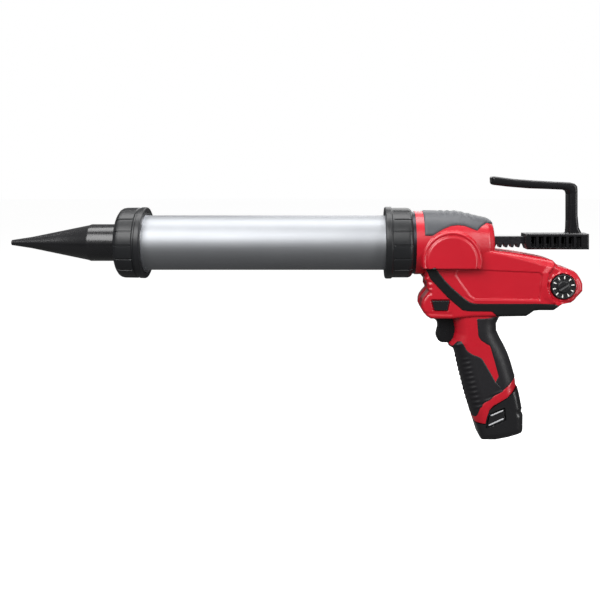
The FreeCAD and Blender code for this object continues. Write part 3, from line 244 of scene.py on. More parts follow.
def body_height(x, z):
    """The body's slab with a chamfer that runs down its rear top edge, narrowing to the back."""
    depth = inside_of(BODY, x, z)
    height = round_over(depth, 3.5, HALF_BODY)
    edge_line = np.interp(x, [72, 122, 130, 141, 172], [-6.2, -18.9, -21.5, -23.5, -38])
    slant = np.interp(x, [60, 82, 122, 140], [0, 0.5, 0.8, 0.6])
    chamfer = np.clip(z - edge_line, 0, None) * slant
    past = x - np.interp(z, [-62, -54, -42, -29, -20], [146, 138, 134.5, 136.5, 143])
    step = 1.5 * np.clip((past + 8) / 6, 0, 1) - 3.4 * ease((past + 0.6) / 0.9)
    rounding = -3.0 * ease((x - 152) / 20)
    return height - chamfer + step * ease((z + 61) / 2) + rounding


def bulge_height(x, z):
    """The gear cover: a flat round face, a groove and a bright rim, cut off along its floor."""
    away = np.hypot(x - BULGE_X, z - BULGE_Z)
    profile = np.interp(away, [0, 24.0, 25.2, 26.0, 27.0, 28.0, 29.2, 30.2, 30.8],
                        [35, 35, 34.5, 33.5, 33.5, 34.3, 34.1, 32.8, 30.0])
    shown = (away < BULGE_R) & (z > BULGE_FLOOR)
    return np.where(shown, profile - 3.0 * ease((BULGE_FLOOR + 1.2 - z) / 1.2), BELOW)


def casing_height(x, z, side):
    """Height of the red casing: the highest of its nose, body, handle and gear cover, with the
    panel, grooves, dial pocket, far side's screw seats and button pocket pressed into it."""
    body = body_height(x, z)
    panel = inside_of(PANEL, x, z)
    body = body - PANEL_DEPTH * ease((panel + 0.2) / 1.2)
    body = body + 0.4 * ridge(from_line(x, z, (60.8, -57.2), (127, -58.0)), 0.8)
    for start, end in (((55.5, -55.6), (58.6, -57.6)), ((50.5, -52.4), (54.6, -55.4))):
        body = body - 0.6 * ridge(from_line(x, z, start, end), 0.6)
    for level in (-36.0, -41.6, -47.0):
        groove = ridge(from_line(x, z, (2, level + 1), (16, level - 2.5)), 1.4)
        body = body - 1.3 * groove * ease((20 - x) / 6)
    chin = ridge(from_line(x, z, (7, -70), (36, -71)), 1.6)
    body = body - CHIN_DEPTH * chin
    high = np.maximum(np.maximum(body, nose_height(x, z)), handle_height(x, z))
    high = np.maximum(high, handle_height(x, z) + 0.5 * ease(inside_of(STRIP, x, z) / 0.8 + 0.4))
    if side == NEAR:
        high = np.maximum(high, bulge_height(x, z))
        away = np.hypot(x - DIAL_X, z - DIAL_Z)
        angle = np.arctan2(z - DIAL_Z, x - DIAL_X)
        rim = DIAL_R + 2.8 + 0.7 * np.cos(11 * angle)
        high = high + DIAL_RIM * ease((rim - away) / 1.0)
        high = high - DIAL_POCKET * ease((DIAL_R + 0.9 - away) / 0.7)
    else:
        for spot_x, spot_z in SCREW_SPOTS:
            inward = SCREW_SEAT_RADIUS - np.hypot(x - spot_x, z - spot_z)
            high = high - SCREW_SEAT_DEPTH * ease(inward / 0.5)
    return high - BUTTON_POCKET * ease((inside_of(BUTTON, x, z) + 1.6) / 1.2)


def casing_field(x, z):
    """Inside the body, the handle or the nose."""
    return np.maximum(np.maximum(inside_of(BODY, x, z), inside_of(HANDLE, x, z)), nose_field(x, z))


def casing_foot(x, z, side):
    """Where the casing's outer wall ends: at the seam, or beside the trigger's slot."""
    slot = (x < 50) & (z < -76.2) & (z > -104)
    return np.where(slot, SLOT_WALL, SEAM_GAP)


# ---------------------------------------------------------------- mesh makers

def placed(name, data):
    """An object that holds a mesh, a lamp or a camera, put into the scene."""
    made = bpy.data.objects.new(name, data)
    bpy.context.scene.collection.objects.link(made)
    return made


def smoothed(name, mesh, sharp):
    """The mesh as an object: smooth, with creases where faces meet at more than sharp degrees."""
    mesh.polygons.foreach_set("use_smooth", np.ones(len(mesh.polygons), bool))
    mesh.set_sharp_from_angle(angle=math.radians(sharp))
    return placed(name, mesh)


def new_piece(name, points, faces, wall=0.0):
    """A mesh object from points in millimetres and faces, welded, smooth, with creases kept."""
    mesh = bpy.data.meshes.new(name)
    mesh.from_pydata((np.asarray(points) * MM).tolist(), [], faces.tolist())
    work = bmesh.new()
    work.from_mesh(mesh)
    bmesh.ops.remove_doubles(work, verts=work.verts, dist=WELD)
    bmesh.ops.dissolve_degenerate(work, dist=WELD, edges=work.edges)
    work.to_mesh(mesh)
    work.free()
    piece = smoothed(name, mesh, CREASE)
    if wall:
        shell = piece.modifiers.new("wall", "SOLIDIFY")
        shell.thickness = wall * MM
        shell.offset = -1
    return piece


def relief(field, top, foot, window, step, sides, rows=None):
    """Points and faces of a surface y = top(x, z) over a grid of x and z. The grid is cut off
    where field(x, z) falls below zero, its outer points are drawn onto that edge along the
    field's slope, and a wall runs from the edge in to y = foot(x, z). One copy per side."""
    (x0, x1), (z0, z1) = window
    columns = np.arange(x0, x1 + step, step)
    rows = np.arange(z0, z1 + step, step) if rows is None else rows
    x, z = np.meshgrid(columns, rows, indexing="ij")
    within = field(x, z) > 0
    kept = within[:-1, :-1] | within[1:, :-1] | within[:-1, 1:] | within[1:, 1:]
    used = np.zeros_like(within)
    for i in (0, 1):
        for j in (0, 1):
            used[i:i + kept.shape[0], j:j + kept.shape[1]] |= kept
    loose = used & ~within
    px, pz = x[loose], z[loose]
    probe = 0.02
    for _ in range(4):
        short = field(px, pz)
        slope_x = (field(px + probe, pz) - field(px - probe, pz)) / (2 * probe)
        slope_z = (field(px, pz + probe) - field(px, pz - probe)) / (2 * probe)
        scale = -short / np.maximum(slope_x ** 2 + slope_z ** 2, 0.3)
        scale = np.clip(scale, -1.5 * step, 1.5 * step)
        px, pz = px + scale * slope_x, pz + scale * slope_z
    x[loose], z[loose] = px, pz
    number = np.full(used.shape, -1)
    number[used] = np.arange(used.sum())
    i, j = np.nonzero(kept)
    quads = np.stack([number[i, j], number[i + 1, j], number[i + 1, j + 1], number[i, j + 1]], 1)
    px, pz = x[used], z[used]
    edges = np.concatenate([quads[:, [k, (k + 1) % 4]] for k in range(4)])
    key = np.sort(edges, 1)
    _, first, count = np.unique(key[:, 0] * len(px) + key[:, 1], return_index=True,
                                return_counts=True)
    rim = edges[first[count == 1]]
    rim_points = np.unique(rim)
    lower = np.full(len(px), -1)
    lower[rim_points] = len(px) + np.arange(len(rim_points))
    wall = np.stack([rim[:, 1], rim[:, 0], lower[rim[:, 0]], lower[rim[:, 1]]], 1)
    faces = np.concatenate([quads, wall])
    all_points, all_faces = [], []
    for side in sides:
        high = top(px, pz, side)
        low = np.minimum(foot(px[rim_points], pz[rim_points], side), high[rim_points])
        y = np.concatenate([high, low]) * side
        points = np.stack([np.concatenate([px, px[rim_points]]), y,
                           np.concatenate([pz, pz[rim_points]])], 1)
        all_faces.append((faces if side == NEAR else faces[:, ::-1]) + sum(map(len, all_points)))
        all_points.append(points)
    return np.concatenate(all_points), np.concatenate(all_faces)


def sided(name, field, top, foot, window, step, sides=(NEAR, FAR), wall=0.0, rows=None):
    """A piece whose sides are the surface y = top(x, z) inside field(x, z) > 0."""
    return new_piece(name, *relief(field, top, foot, window, step, sides, rows), wall=wall)


def lathe(profile, count, shape=None):
    """A closed profile of (x, r) turned about the barrel's axis. shape(x, r, turn) may give
    another radius at each angle, for ribs and panels."""
    profile = np.asarray(profile, float)
    turn = np.linspace(0, 2 * math.pi, count, endpoint=False)
    x, angle = np.meshgrid(profile[:, 0], turn, indexing="ij")
    radius = np.repeat(profile[:, 1:2], count, 1)
    if shape is not None:
        radius = shape(x, radius, angle)
    points = np.stack([x, radius * np.sin(angle), radius * np.cos(angle)], -1).reshape(-1, 3)
    ring = np.arange(len(profile))
    i, j = np.meshgrid(ring, np.arange(count), indexing="ij")
    after, beside = (i + 1) % len(profile), (j + 1) % count
    quads = np.stack([i * count + j, i * count + beside, after * count + beside,
                      after * count + j], -1).reshape(-1, 4)
    return points, quads


def fine(profile, step):
    """The profile's straight runs divided into short ones."""
    corners = np.asarray(profile, float)
    runs = []
    for start, end in zip(corners, np.roll(corners, -1, axis=0)):
        parts = max(1, int(math.ceil(np.hypot(*(end - start)) / step)))
        runs.append(start + (end - start) * np.arange(parts)[:, None] / parts)
    return np.concatenate(runs)


def turned(name, profile, count, shape=None, step=50.0):
    """A piece turned about the barrel's axis, its faces outwards whichever way the profile runs:
    the sign of the profile's area, half the sum of x r' - x' r, tells the way."""
    points, faces = lathe(fine(profile, step), count, shape)
    corners = np.asarray(profile, float)
    ahead = np.roll(corners, -1, axis=0)
    area = np.sum(corners[:, 0] * ahead[:, 1] - ahead[:, 0] * corners[:, 1])
    return new_piece(name, points, faces if area > 0 else faces[:, ::-1])


def tube_faces(along, around):
    """Faces of a closed tube of rings of around points: its walls and both ends."""
    i, j = np.meshgrid(np.arange(along), np.arange(around), indexing="ij")
    beside = (j + 1) % around
    walls = np.stack([i * around + j, i * around + beside, (i + 1) * around + beside,
                      (i + 1) * around + j], -1).reshape(-1, 4)
    last = along * around
    return walls.tolist() + [list(range(around))[::-1], list(range(last, last + around))]


def joined(name, parts):
    """Several closed shapes as one mesh, with their faces turned outwards."""
    mesh = bpy.data.meshes.new(name)
    points, faces = [], []
    for part_points, part_faces in parts:
        faces += [[index + len(points) for index in face] for face in part_faces]
        points += (np.asarray(part_points) * MM).tolist()
    mesh.from_pydata(points, [], faces)
    work = bmesh.new()
    work.from_mesh(mesh)
    bmesh.ops.recalc_face_normals(work, faces=work.faces)
    work.to_mesh(mesh)
    work.free()
    return smoothed(name, mesh, SOFT_CREASE)


# ---------------------------------------------------------------- node writing for materials

class Link:
    """A node's output on which sums and products add Math nodes."""

    def __init__(self, finish, out):
        self.finish, self.out = finish, out

    def maths(self, operation, first, second):
        return self.finish.node("ShaderNodeMath", {"operation": operation}, {0: first, 1: second})

    def __add__(self, other):
        return self.maths("ADD", self, other)

    __radd__ = __add__

    def __mul__(self, other):
        return self.maths("MULTIPLY", self, other)

    __rmul__ = __mul__


class Finish:
    """One material: its shader, and the methods that add nodes to it."""

    def __init__(self, name, **constants):
        self.material = bpy.data.materials.new(name)
        self.material.use_nodes = True
        self.tree = self.material.node_tree
        self.shader = self.tree.nodes["Principled BSDF"]
        for label, value in constants.items():
            self.shader.inputs[label.replace("_", " ")].default_value = value

    def node(self, kind, settings=None, inputs=None, output=0):
        """Adds a node of a kind: its settings first, then its inputs' values or links."""
        made = self.tree.nodes.new(kind)
        for key, value in (settings or {}).items():
            setattr(made, key, value)
        for key, value in (inputs or {}).items():
            if isinstance(value, Link):
                self.tree.links.new(value.out, made.inputs[key])
            else:
                made.inputs[key].default_value = value
        return Link(self, made.outputs[output])

    def place(self, stretch=(1, 1, 1)):
        """Object coordinates, stretched."""
        where = self.node("ShaderNodeTexCoord", output="Object")
        return self.node("ShaderNodeMapping", {}, {"Vector": where, "Scale": stretch})

    def noise(self, scale, detail=3.0, stretch=(1, 1, 1)):
        return self.node("ShaderNodeTexNoise", {},
                         {"Vector": self.place(stretch), "Scale": scale, "Detail": detail})

    def blend(self, amount, first, second):
        """A mix of two colours."""
        return self.node("ShaderNodeMix", {"data_type": "RGBA"}, {0: amount, 6: first, 7: second},
                         output=2)

    def feed(self, label, value):
        """Links a value to one of the shader's inputs."""
        self.tree.links.new(value.out, self.shader.inputs[label])

    def bump(self, height, strength):
        """Gives the surface a fine relief."""
        self.feed("Normal", self.node("ShaderNodeBump", {}, {
            "Height": height, "Strength": strength, "Distance": GRAIN_DEPTH}))


def colour(red, green, blue):
    """A display colour from 0 to 255 as the linear values that shaders take."""
    parts = np.array([red, green, blue]) / 255.0
    linear = np.where(parts <= 0.04045, parts / 12.92, ((parts + 0.055) / 1.055) ** 2.4)
    return (*linear.tolist(), 1.0)


GRAIN_DEPTH = 0.0002


def moulded(name, tone, worn, rough, grain=0.25, grain_size=2600.0, **constants):
    """Moulded plastic or rubber: slow drifts of tone, a spark-eroded grain and faint scuffs."""
    made = Finish(name, **constants)
    drift = made.noise(38.0, 4.0)
    scuff = made.noise(150.0, 6.0, (1, 1, 3))
    made.feed("Base Color", made.blend(drift * 0.8, tone, worn))
    made.feed("Roughness", rough - 0.05 + 0.1 * scuff)
    made.bump(made.noise(grain_size, 2.0), grain)
    return made


def metal(name, tone, dark, rough, stretch, scale=900.0, streak=0.12, bump=0.06):
    """Bare metal with fine lines along its working direction and a slow drift of tone."""
    made = Finish(name, Metallic=1.0)
    lines = made.noise(scale, 5.0, stretch)
    cloud = made.noise(24.0, 3.0)
    made.feed("Base Color", made.blend(cloud * 0.7 + lines * 0.3, dark, tone))
    made.feed("Roughness", rough - streak / 2 + streak * lines)
    made.bump(lines, bump)
    return made


# ---------------------------------------------------------------- finishes

red = moulded("red_casing_plastic", colour(190, 15, 36), colour(174, 10, 30), 0.34,
              grain=0.10, Specular_IOR_Level=0.55, Coat_Weight=0.3, Coat_Roughness=0.22)
black = moulded("black_nylon", colour(20, 20, 22), colour(14, 14, 16), 0.26, grain=0.1,
                Specular_IOR_Level=0.42)
cap_black = moulded("cap_black_nylon", colour(30, 31, 33), colour(22, 23, 25), 0.38, grain=0.15,
                    Specular_IOR_Level=0.45)
nozzle_black = moulded("nozzle_black_polythene", colour(26, 26, 28), colour(18, 18, 20), 0.27,
                       grain=0.05, Coat_Weight=0.2, Coat_Roughness=0.12)
band_black = moulded("band_satin_black", colour(22, 23, 24), colour(16, 17, 18), 0.3, grain=0.08,
                     Specular_IOR_Level=0.42)
grip_black = moulded("handle_rubber", colour(30, 29, 32), colour(22, 21, 24), 0.44, grain=0.4,
                     grain_size=1700.0, Specular_IOR_Level=0.38)
top_grey = moulded("top_rubber", colour(72, 74, 78), colour(56, 58, 62), 0.46, grain=0.4,
                   grain_size=1500.0, Specular_IOR_Level=0.45)
gloss_black = moulded("gloss_black_plastic", colour(26, 26, 28), colour(20, 20, 22), 0.26,
                      grain=0.06, Coat_Weight=0.2, Coat_Roughness=0.2)
# Light grey on the latch ribs is a painted highlight: it stands in for the light that the thin
# ridges catch.
rib_painted_highlight = moulded("latch_rib_satin_painted_highlight", colour(186, 187, 190), colour(168, 169, 172), 0.34,
                   grain=0.05)
dial_black = moulded("dial_black_plastic", colour(24, 24, 26), colour(18, 18, 20), 0.36, grain=0.1)
mark_white = moulded("dial_mark_white", colour(236, 236, 232), colour(222, 222, 216), 0.5,
                     grain=0.1)
seal = moulded("seal_rubber_black", colour(34, 34, 34), colour(26, 26, 26), 0.66, grain=0.3)
gear_black = moulded("gear_case_glass_nylon", colour(62, 63, 66), colour(48, 49, 52), 0.5,
                     grain=0.3)
wrap_blue = moulded("cell_shrink_wrap", colour(52, 118, 160), colour(40, 98, 140), 0.32,
                    grain=0.05)
board_green = moulded("circuit_board", colour(28, 96, 52), colour(20, 74, 40), 0.42, grain=0.15)
magnet_grey = moulded("ferrite", colour(70, 70, 74), colour(56, 56, 60), 0.5, grain=0.3)
tube = metal("drawn_aluminium", colour(164, 166, 169), colour(150, 152, 156), 0.54, (0.02, 1, 1),
             streak=0.08, bump=0.03)
milled = metal("turned_aluminium", colour(216, 217, 220), colour(198, 200, 204), 0.28,
               (1, 0.05, 0.05))
steel = metal("bright_steel", colour(196, 197, 200), colour(170, 171, 176), 0.28, (1, 1, 1))
rack_steel = metal("blackened_rack_steel", colour(74, 74, 78), colour(46, 46, 50), 0.42,
                   (0.2, 1, 1), streak=0.2)
bronze = metal("sintered_bronze", colour(190, 140, 84), colour(150, 106, 62), 0.42, (1, 1, 1))
brass = metal("tinned_contact_brass", colour(214, 186, 120), colour(190, 160, 96), 0.3, (1, 1, 1))

FINISH_OF_SLOT = {
    "black_plastic": black, "barrel_aluminium": tube, "machined_aluminium": milled,
    "seal_rubber": seal, "rack_steel": rack_steel, "bright_steel": steel, "red_plastic": red,
    "grip_rubber": grip_black, "grey_rubber": top_grey, "gloss_black": gloss_black,
    "dial_plastic": dial_black, "gear_plastic": gear_black, "magnet": magnet_grey,
    "bronze": bronze, "circuit": board_green, "cell_wrap": wrap_blue, "contact": brass,
}
neck_black = metal("anodised_neck", colour(70, 70, 74), colour(50, 50, 54), 0.36, (1, 0.05, 0.05))
slot_of_node = {row["node"]: row["material_slot"] for row in frame["record"]["subparts"]}
for label, node in frame["nodes"].items():
    finish = FINISH_OF_SLOT[slot_of_node[label]].material
    node.data.materials.clear()
    node.data.materials.append(neck_black.material if label == "front_neck" else finish)


def stand_for(piece, body, finish, slot, *nodes):
    """Gives a piece its finish, the body it moves with and the nodes that it replaces."""
    piece.data.materials.append(finish.material)
    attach(piece, body)
    if nodes:
        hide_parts(*nodes)
    return piece


# ---------------------------------------------------------------- casing

CASING_STEP, CASING_BOTTOM = 0.75, -184.4
half_turn = np.linspace(0, math.pi / 2, 70)
casing_rows = np.concatenate([np.arange(CASING_BOTTOM, 0, CASING_STEP),
                              NOSE_R[0] * np.sin(half_turn)])
for label, side in (("left_shell", NEAR), ("right_shell", FAR)):
    shell = sided(label, casing_field, casing_height, casing_foot,
                  ((0.4, 173.4), (CASING_BOTTOM, 33.4)), CASING_STEP, (side,), wall=WALL,
                  rows=casing_rows)
    stand_for(shell, "gun", red, "red_plastic",
              "left_housing" if side == NEAR else "right_housing")


# ---------------------------------------------------------------- rubber and bands

def band_field(x, z):
    """Inside both the band's outline and the body's, grown a little."""
    return np.minimum(inside_of(BAND, x, z), inside_of(BODY, x, z) + 0.6)


def band_height(x, z, side):
    """The casing's height plus the band's, falling over a short round edge."""
    depth = inside_of(BAND, x, z)
    high = casing_height(x, z, side)
    base = np.maximum(high, HALF_BODY - 7.0)
    return base + round_over(np.maximum(depth, 0), 0.9, BAND_LIFT)


for label, side in (("left_side_band", NEAR), ("right_side_band", FAR)):
    band = sided(label, band_field, band_height,
                 lambda x, z, s: band_height(x, z, s) - 1.6,
                 ((5, 150), (-76, -20)), 0.7, (side,), wall=0.9)
    stand_for(band, "gun", band_black, "grip_rubber",
              "left_band" if side == NEAR else "right_band")


def grip_field(outline, ribs):
    """Inside both the grip's outline and the handle's, grown by the rubber and its ridges."""
    whole = field_of(HANDLE, GRIP_LIFT)
    return lambda x, z: np.minimum(inside_of(outline, x, z), whole(x, z) + ribs(x, z))


def grip_height(outline, ribs):
    """The handle's surface lifted by the rubber's thickness, with fine ridges across it where
    ribs gives their strength, and a soft edge all round."""
    def height(x, z, side):
        depth = inside_of(HANDLE_SIDES, x, z) + GRIP_LIFT
        base = round_over(np.maximum(depth, 0), HANDLE_ROUND + GRIP_LIFT, HALF_HANDLE + GRIP_LIFT)
        edge = inside_of(outline, x, z)
        return base - 0.6 * (1 - ease(edge / 0.9)) * (depth > 1.0) + ribs(x, z)
    return height


def grip_foot(height, ribs):
    """Where the rubber ends: 1.2 mm under its face, and at the seam along the handle's edge."""
    def foot(x, z, side):
        depth = inside_of(HANDLE_SIDES, x, z) + GRIP_LIFT + ribs(x, z)
        return np.where(depth < 0.6, 0.0, height(x, z, side) - 1.2)
    return foot


def front_ribs(x, z):
    """Ridges across the handle, from its front edge to a third of its depth."""
    depth = inside_of(HANDLE, x, z)
    down = -(z * math.cos(TILT) - x * math.sin(TILT))
    wave = 0.5 * np.cos(2 * math.pi * (down + 0.12 * depth) / 5.1)
    inside = ease((13 - depth) / 6.0) * ease((-114 - z) / 5) * ease((z + 172) / 5)
    return wave * inside


def no_ribs(x, z):
    """A smooth grip."""
    return 0.0 * x


for label, outline, ribs, window, node in (
        ("front_grip_rubber", FRONT_GRIP, front_ribs, ((33, 90), (-180, -98)),
         "handle_front_grip"),
        ("rear_grip_rubber", REAR_GRIP, no_ribs, ((60, 108), (-152, -72)), "handle_rear_grip")):
    height = grip_height(outline, ribs)
    grip = sided(label, grip_field(outline, ribs), height, grip_foot(height, ribs), window, 0.6,
                 wall=0.8)
    stand_for(grip, "gun", grip_black, "grip_rubber", node)


def saddle():
    """Top rubber: a grid of x along the nose and an angle over it. The radius is the nose's plus
    the rubber's thickness, low bumps run across the top, and the edges fall to the casing."""
    front, back, along, round_top = 9.6, 81.6, 144, 96
    x = np.linspace(front, back, along + 1)
    side_x = [8.4, 16.9, 22.5, 28.7, 35.8, 43, 50.1, 56.2, 62.9, 68, 74.1, 82]
    side_z = [9.8, 9.8, 13.4, 16.5, 19.2, 20, 19.3, 17, 14.5, 18.4, 21.6, 20.2]
    base = nose_radius(x)
    reach = np.arccos(np.clip(np.interp(x, side_x, side_z) / base, -1, 0.995))
    across = np.linspace(-1, 1, round_top + 1)
    long, turn = np.meshgrid(x, across, indexing="ij")
    angle = turn * reach[:, None]
    rim = np.minimum((1 - np.abs(turn)) * reach[:, None] * base[:, None],
                     np.minimum(long - front, back - long))
    bumps = 0.4 * np.cos(2 * math.pi * long / 7.2) * ease((long - 22) / 6) * ease((66 - long) / 6)
    bumps = bumps * ease((0.62 - np.abs(angle)) / 0.2)
    radius = base[:, None] + 0.9 * ease(rim / 1.6) - 0.4 + bumps
    points = np.stack([long, radius * np.sin(angle), radius * np.cos(angle)], -1).reshape(-1, 3)
    row = round_top + 1
    i, j = np.meshgrid(np.arange(along), np.arange(round_top), indexing="ij")
    first = (i * row + j).ravel()
    faces = np.stack([first, first + row, first + row + 1, first + 1], 1)[:, ::-1]
    return new_piece("top_saddle_rubber", points, faces, wall=0.7)


stand_for(saddle(), "gun", top_grey, "grey_rubber", "top_grip")


# ---------------------------------------------------------------- battery

BATTERY_ROUND, LATCH_POCKET = 9.0, 2.9
LATCH_TOP, LATCH_FOOT, RIB_RADIUS = 21.4, 21.0, 0.75


def battery_height(x, z, side):
    """The battery's foot: round edges, and a pocket that the latch pad is pressed into."""
    depth = inside_of(BATTERY_SIDES, x, z)
    high = round_over(np.maximum(depth, 0), BATTERY_ROUND, HALF_BATTERY - 0.6)
    return high - LATCH_POCKET * ease((inside_of(LATCH, x, z) + 1.0) / 0.7)


foot = sided("battery_foot", field_of(BATTERY), battery_height, flat_at(0),
             ((62, 113), (-203, -146)), 0.7)
stand_for(foot, "battery", gloss_black, "gloss_black", "battery_case")


def bar(start, end, y, radius, along_count=24, around=12):
    """A thin rib: an oval section carried along a straight run on the battery's side, its size
    falling off at both ends as the root of 1 - (2t - 1)^12."""
    along = np.linspace(0, 1, along_count + 1)
    turn = np.linspace(0, 2 * math.pi, around, endpoint=False)
    size = radius * np.sqrt(np.clip(1 - (2 * along - 1) ** 12, 0.02, 1))
    run = np.array(end) - np.array(start)
    length = np.hypot(*run)
    side_x, side_z = -run[1] / length, run[0] / length
    x = start[0] + run[0] * along[:, None] + side_x * size[:, None] * np.cos(turn)
    z = start[1] + run[1] * along[:, None] + side_z * size[:, None] * np.cos(turn)
    out = y + 0.7 * size[:, None] * np.sin(turn)
    points = np.stack([x, out, z], -1).reshape(-1, 3)
    return points, tube_faces(along_count, around)


for side, word in ((NEAR, "left"), (FAR, "right")):
    pad = sided(f"{word}_latch_pad", field_of(LATCH), plain_height(LATCH, 0.8, LATCH_TOP),
                flat_at(LATCH_FOOT), ((72, 94), (-188.5, -167)), 0.5, (side,), wall=0.4)
    stand_for(pad, f"latch_{word}_body", gloss_black, "gloss_black", f"latch_{word}")
    ribs = joined(f"{word}_latch_ribs", [bar(start, end, side * LATCH_TOP, RIB_RADIUS)
                                         for start, end in LATCH_RIBS])
    # The ribs take the light grey painted highlight.
    stand_for(ribs, f"latch_{word}_body", rib_painted_highlight, "gloss_black")


def post(name, centre, half_depth, half_width, low, high, corner, around=64):
    """A tilted post: the rounded rectangle |u / depth|^n + |v / width|^n = 1, n being corner,
    carried along the handle's own direction."""
    turn = np.linspace(0, 2 * math.pi, around, endpoint=False)
    across = np.sign(np.cos(turn)) * np.abs(np.cos(turn)) ** (2 / corner) * half_depth
    side = np.sign(np.sin(turn)) * np.abs(np.sin(turn)) ** (2 / corner) * half_width
    up = np.array([low, high])
    x = centre[0] + across[None, :] * math.cos(TILT) - up[:, None] * math.sin(TILT)
    z = centre[1] + across[None, :] * math.sin(TILT) + up[:, None] * math.cos(TILT)
    points = np.stack([x, np.repeat(side[None, :], 2, 0), z], -1).reshape(-1, 3)
    middle = [[centre[0] - v * math.sin(TILT), 0, centre[1] + v * math.cos(TILT)] for v in up]
    points = np.concatenate([points, middle])
    j = np.arange(around)
    after = (j + 1) % around
    bottom, top = np.full(around, 2 * around), np.full(around, 2 * around + 1)
    walls = np.stack([j, after, after + around, j + around], 1)
    caps = np.concatenate([np.stack([after, j, bottom], 1),
                           np.stack([j + around, after + around, top], 1)])
    mesh = bpy.data.meshes.new(name)
    mesh.from_pydata((points * MM).tolist(), [], walls.tolist() + caps.tolist())
    return smoothed(name, mesh, CREASE)


stem = post("battery_stem", (80.5, -156.0), 18.6, 18.3, -24, 48, 5)
stand_for(stem, "battery", gloss_black, "gloss_black")


# ---------------------------------------------------------------- controls

COIL_FRONT, COIL_LENGTH, COIL_RADIUS = 48.7, 6.6, 3.2
WIRE_RADIUS, COIL_TURNS, TRIGGER_Z = 0.5, 4.2, -90


def spring_coil(steps=180, around=10):
    """The trigger's return spring: a round wire carried along a helix about the trigger's axis,
    (front + length t, R cos a, z + R sin a) with a = 2 pi turns t."""
    along = np.linspace(0, 1, steps + 1)
    turn = np.linspace(0, 2 * math.pi, around, endpoint=False)
    angle = 2 * math.pi * COIL_TURNS * along
    middle = np.stack([COIL_FRONT + COIL_LENGTH * along, COIL_RADIUS * np.cos(angle),
                       TRIGGER_Z + COIL_RADIUS * np.sin(angle)], -1)
    out = np.stack([0 * angle, np.cos(angle), np.sin(angle)], -1)
    wire = (middle[:, None, :] + WIRE_RADIUS * np.cos(turn)[None, :, None] * out[:, None, :]
            + WIRE_RADIUS * np.sin(turn)[None, :, None] * np.array([1.0, 0, 0]))
    return joined("trigger_return_spring", [(wire.reshape(-1, 3), tube_faces(steps, around))])


spring = stand_for(spring_coil(), "gun", steel, "bright_steel", "trigger_spring")
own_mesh(spring)


trigger = sided("trigger_blade", field_of(TRIGGER), plain_height(TRIGGER, 3.4, 9.0), flat_at(0),
                ((16, 48.5), (-104, -76)), 0.5)
stand_for(trigger, "trigger_body", black, "black_plastic", "trigger")

button = sided("lock_off_button", field_of(BUTTON, 0.3), plain_height(BUTTON, 1.2, 26.4, 0.3),
               flat_at(0), ((15.5, 36), (-68, -56)), 0.4)
stand_for(button, "lock_button_body", gloss_black, "gloss_black", "lock_button")


def dial_height(x, z, side):
    """A dial: a rim, a dished ring, a raised hub and a finger notch across the hub."""
    away = np.hypot(x - DIAL_X, z - DIAL_Z)
    profile = np.interp(away, [0, 5.2, 6.0, 6.6, 10.8, 11.6, 12.2, 12.5],
                        [26.6, 26.6, 26.1, 24.8, 24.9, 25.9, 25.7, 25.2])
    notch = from_line(x, z, (DIAL_X - 4, DIAL_Z - 2.6), (DIAL_X + 4, DIAL_Z + 2.6))
    return profile - 1.1 * ridge(notch, 0.9)


dial = sided("speed_dial_disc", lambda x, z: DIAL_R - np.hypot(x - DIAL_X, z - DIAL_Z),
             dial_height, flat_at(20.5),
             ((138.2, 163.8), (-55.9, -30.2)), 0.35, (NEAR,), wall=1.0)
stand_for(dial, "speed_dial_body", dial_black, "dial_plastic", "speed_dial")


def dial_marks():
    """Ten tapered marks round the hub: a small wedge repeated at equal turns."""
    points, faces = [], []
    shape = np.array([(8.0, -0.32), (8.0, 0.32), (11.0, 0.72), (11.0, -0.72)])
    for index in range(DIAL_MARKS):
        turn = 2 * math.pi * index / DIAL_MARKS + 0.2
        for y in (-25.25, -24.4):
            for away, across in shape:
                points.append((DIAL_X + away * math.cos(turn) - across * math.sin(turn), y,
                               DIAL_Z + away * math.sin(turn) + across * math.cos(turn)))
        base = index * 8
        faces += [[base, base + 1, base + 2, base + 3][::-1],
                  [base + 4, base + 5, base + 6, base + 7]]
        faces += [[base + k, base + (k + 1) % 4, base + 4 + (k + 1) % 4, base + 4 + k]
                  for k in range(4)]
    return new_piece("dial_tick_marks", points, np.array(faces))


stand_for(dial_marks(), "speed_dial_body", mark_white, "dial_plastic")


# ---------------------------------------------------------------- pull handle

SLOTS, SLOT_START, SLOT_PITCH, SLOT_DEPTH = 7, 121.5, 7.8, 4.5


def pull_field(x, z):
    """Inside the block or the arm."""
    return np.maximum(inside_of(PULL_BLOCK, x, z), inside_of(PULL_ARM, x, z))


def pull_height(x, z, side):
    """The block with seven upright slots in its side, and the narrower round-edged arm."""
    block = inside_of(PULL_BLOCK, x, z)
    slots = 0.0 * x
    for index in range(SLOTS):
        middle = SLOT_START + index * SLOT_PITCH + 2.6
        slots = np.maximum(slots, ease((2.7 - np.abs(x - middle)) / 0.7))
    slots = slots * ease((z + 4.4) / 0.8) * ease((7.2 - z) / 0.8)
    high = round_over(block, 1.6, 10.5) - SLOT_DEPTH * slots
    arm = round_over(inside_of(PULL_ARM, x, z), 3.2, 8.5)
    return np.maximum(high, arm)


pull = sided("pull_handle_arm", pull_field, pull_height, flat_at(0), ((80, 183), (-7.2, 70)), 0.6)
stand_for(pull, "plunger", black, "black_plastic", "pull_handle")


# ---------------------------------------------------------------- barrel ends

def soft_nozzle():
    """The nozzle: a cone on a short cylinder with a flange, hollow, turned about the axis."""
    profile = [(-420.9, 1.8), (-421, 2.4), (-420.7, 2.75), (-400, 5.9), (-339, 18.4), (-338, 18.9),
               (-336.6, 19.2), (-305.5, 19.2), (-305.5, 30), (-302.6, 30), (-302.6, 18.2),
               (-305.5, 17.0), (-336, 17.0), (-411, 1.8)]
    return turned("tapered_nozzle", profile, 128)


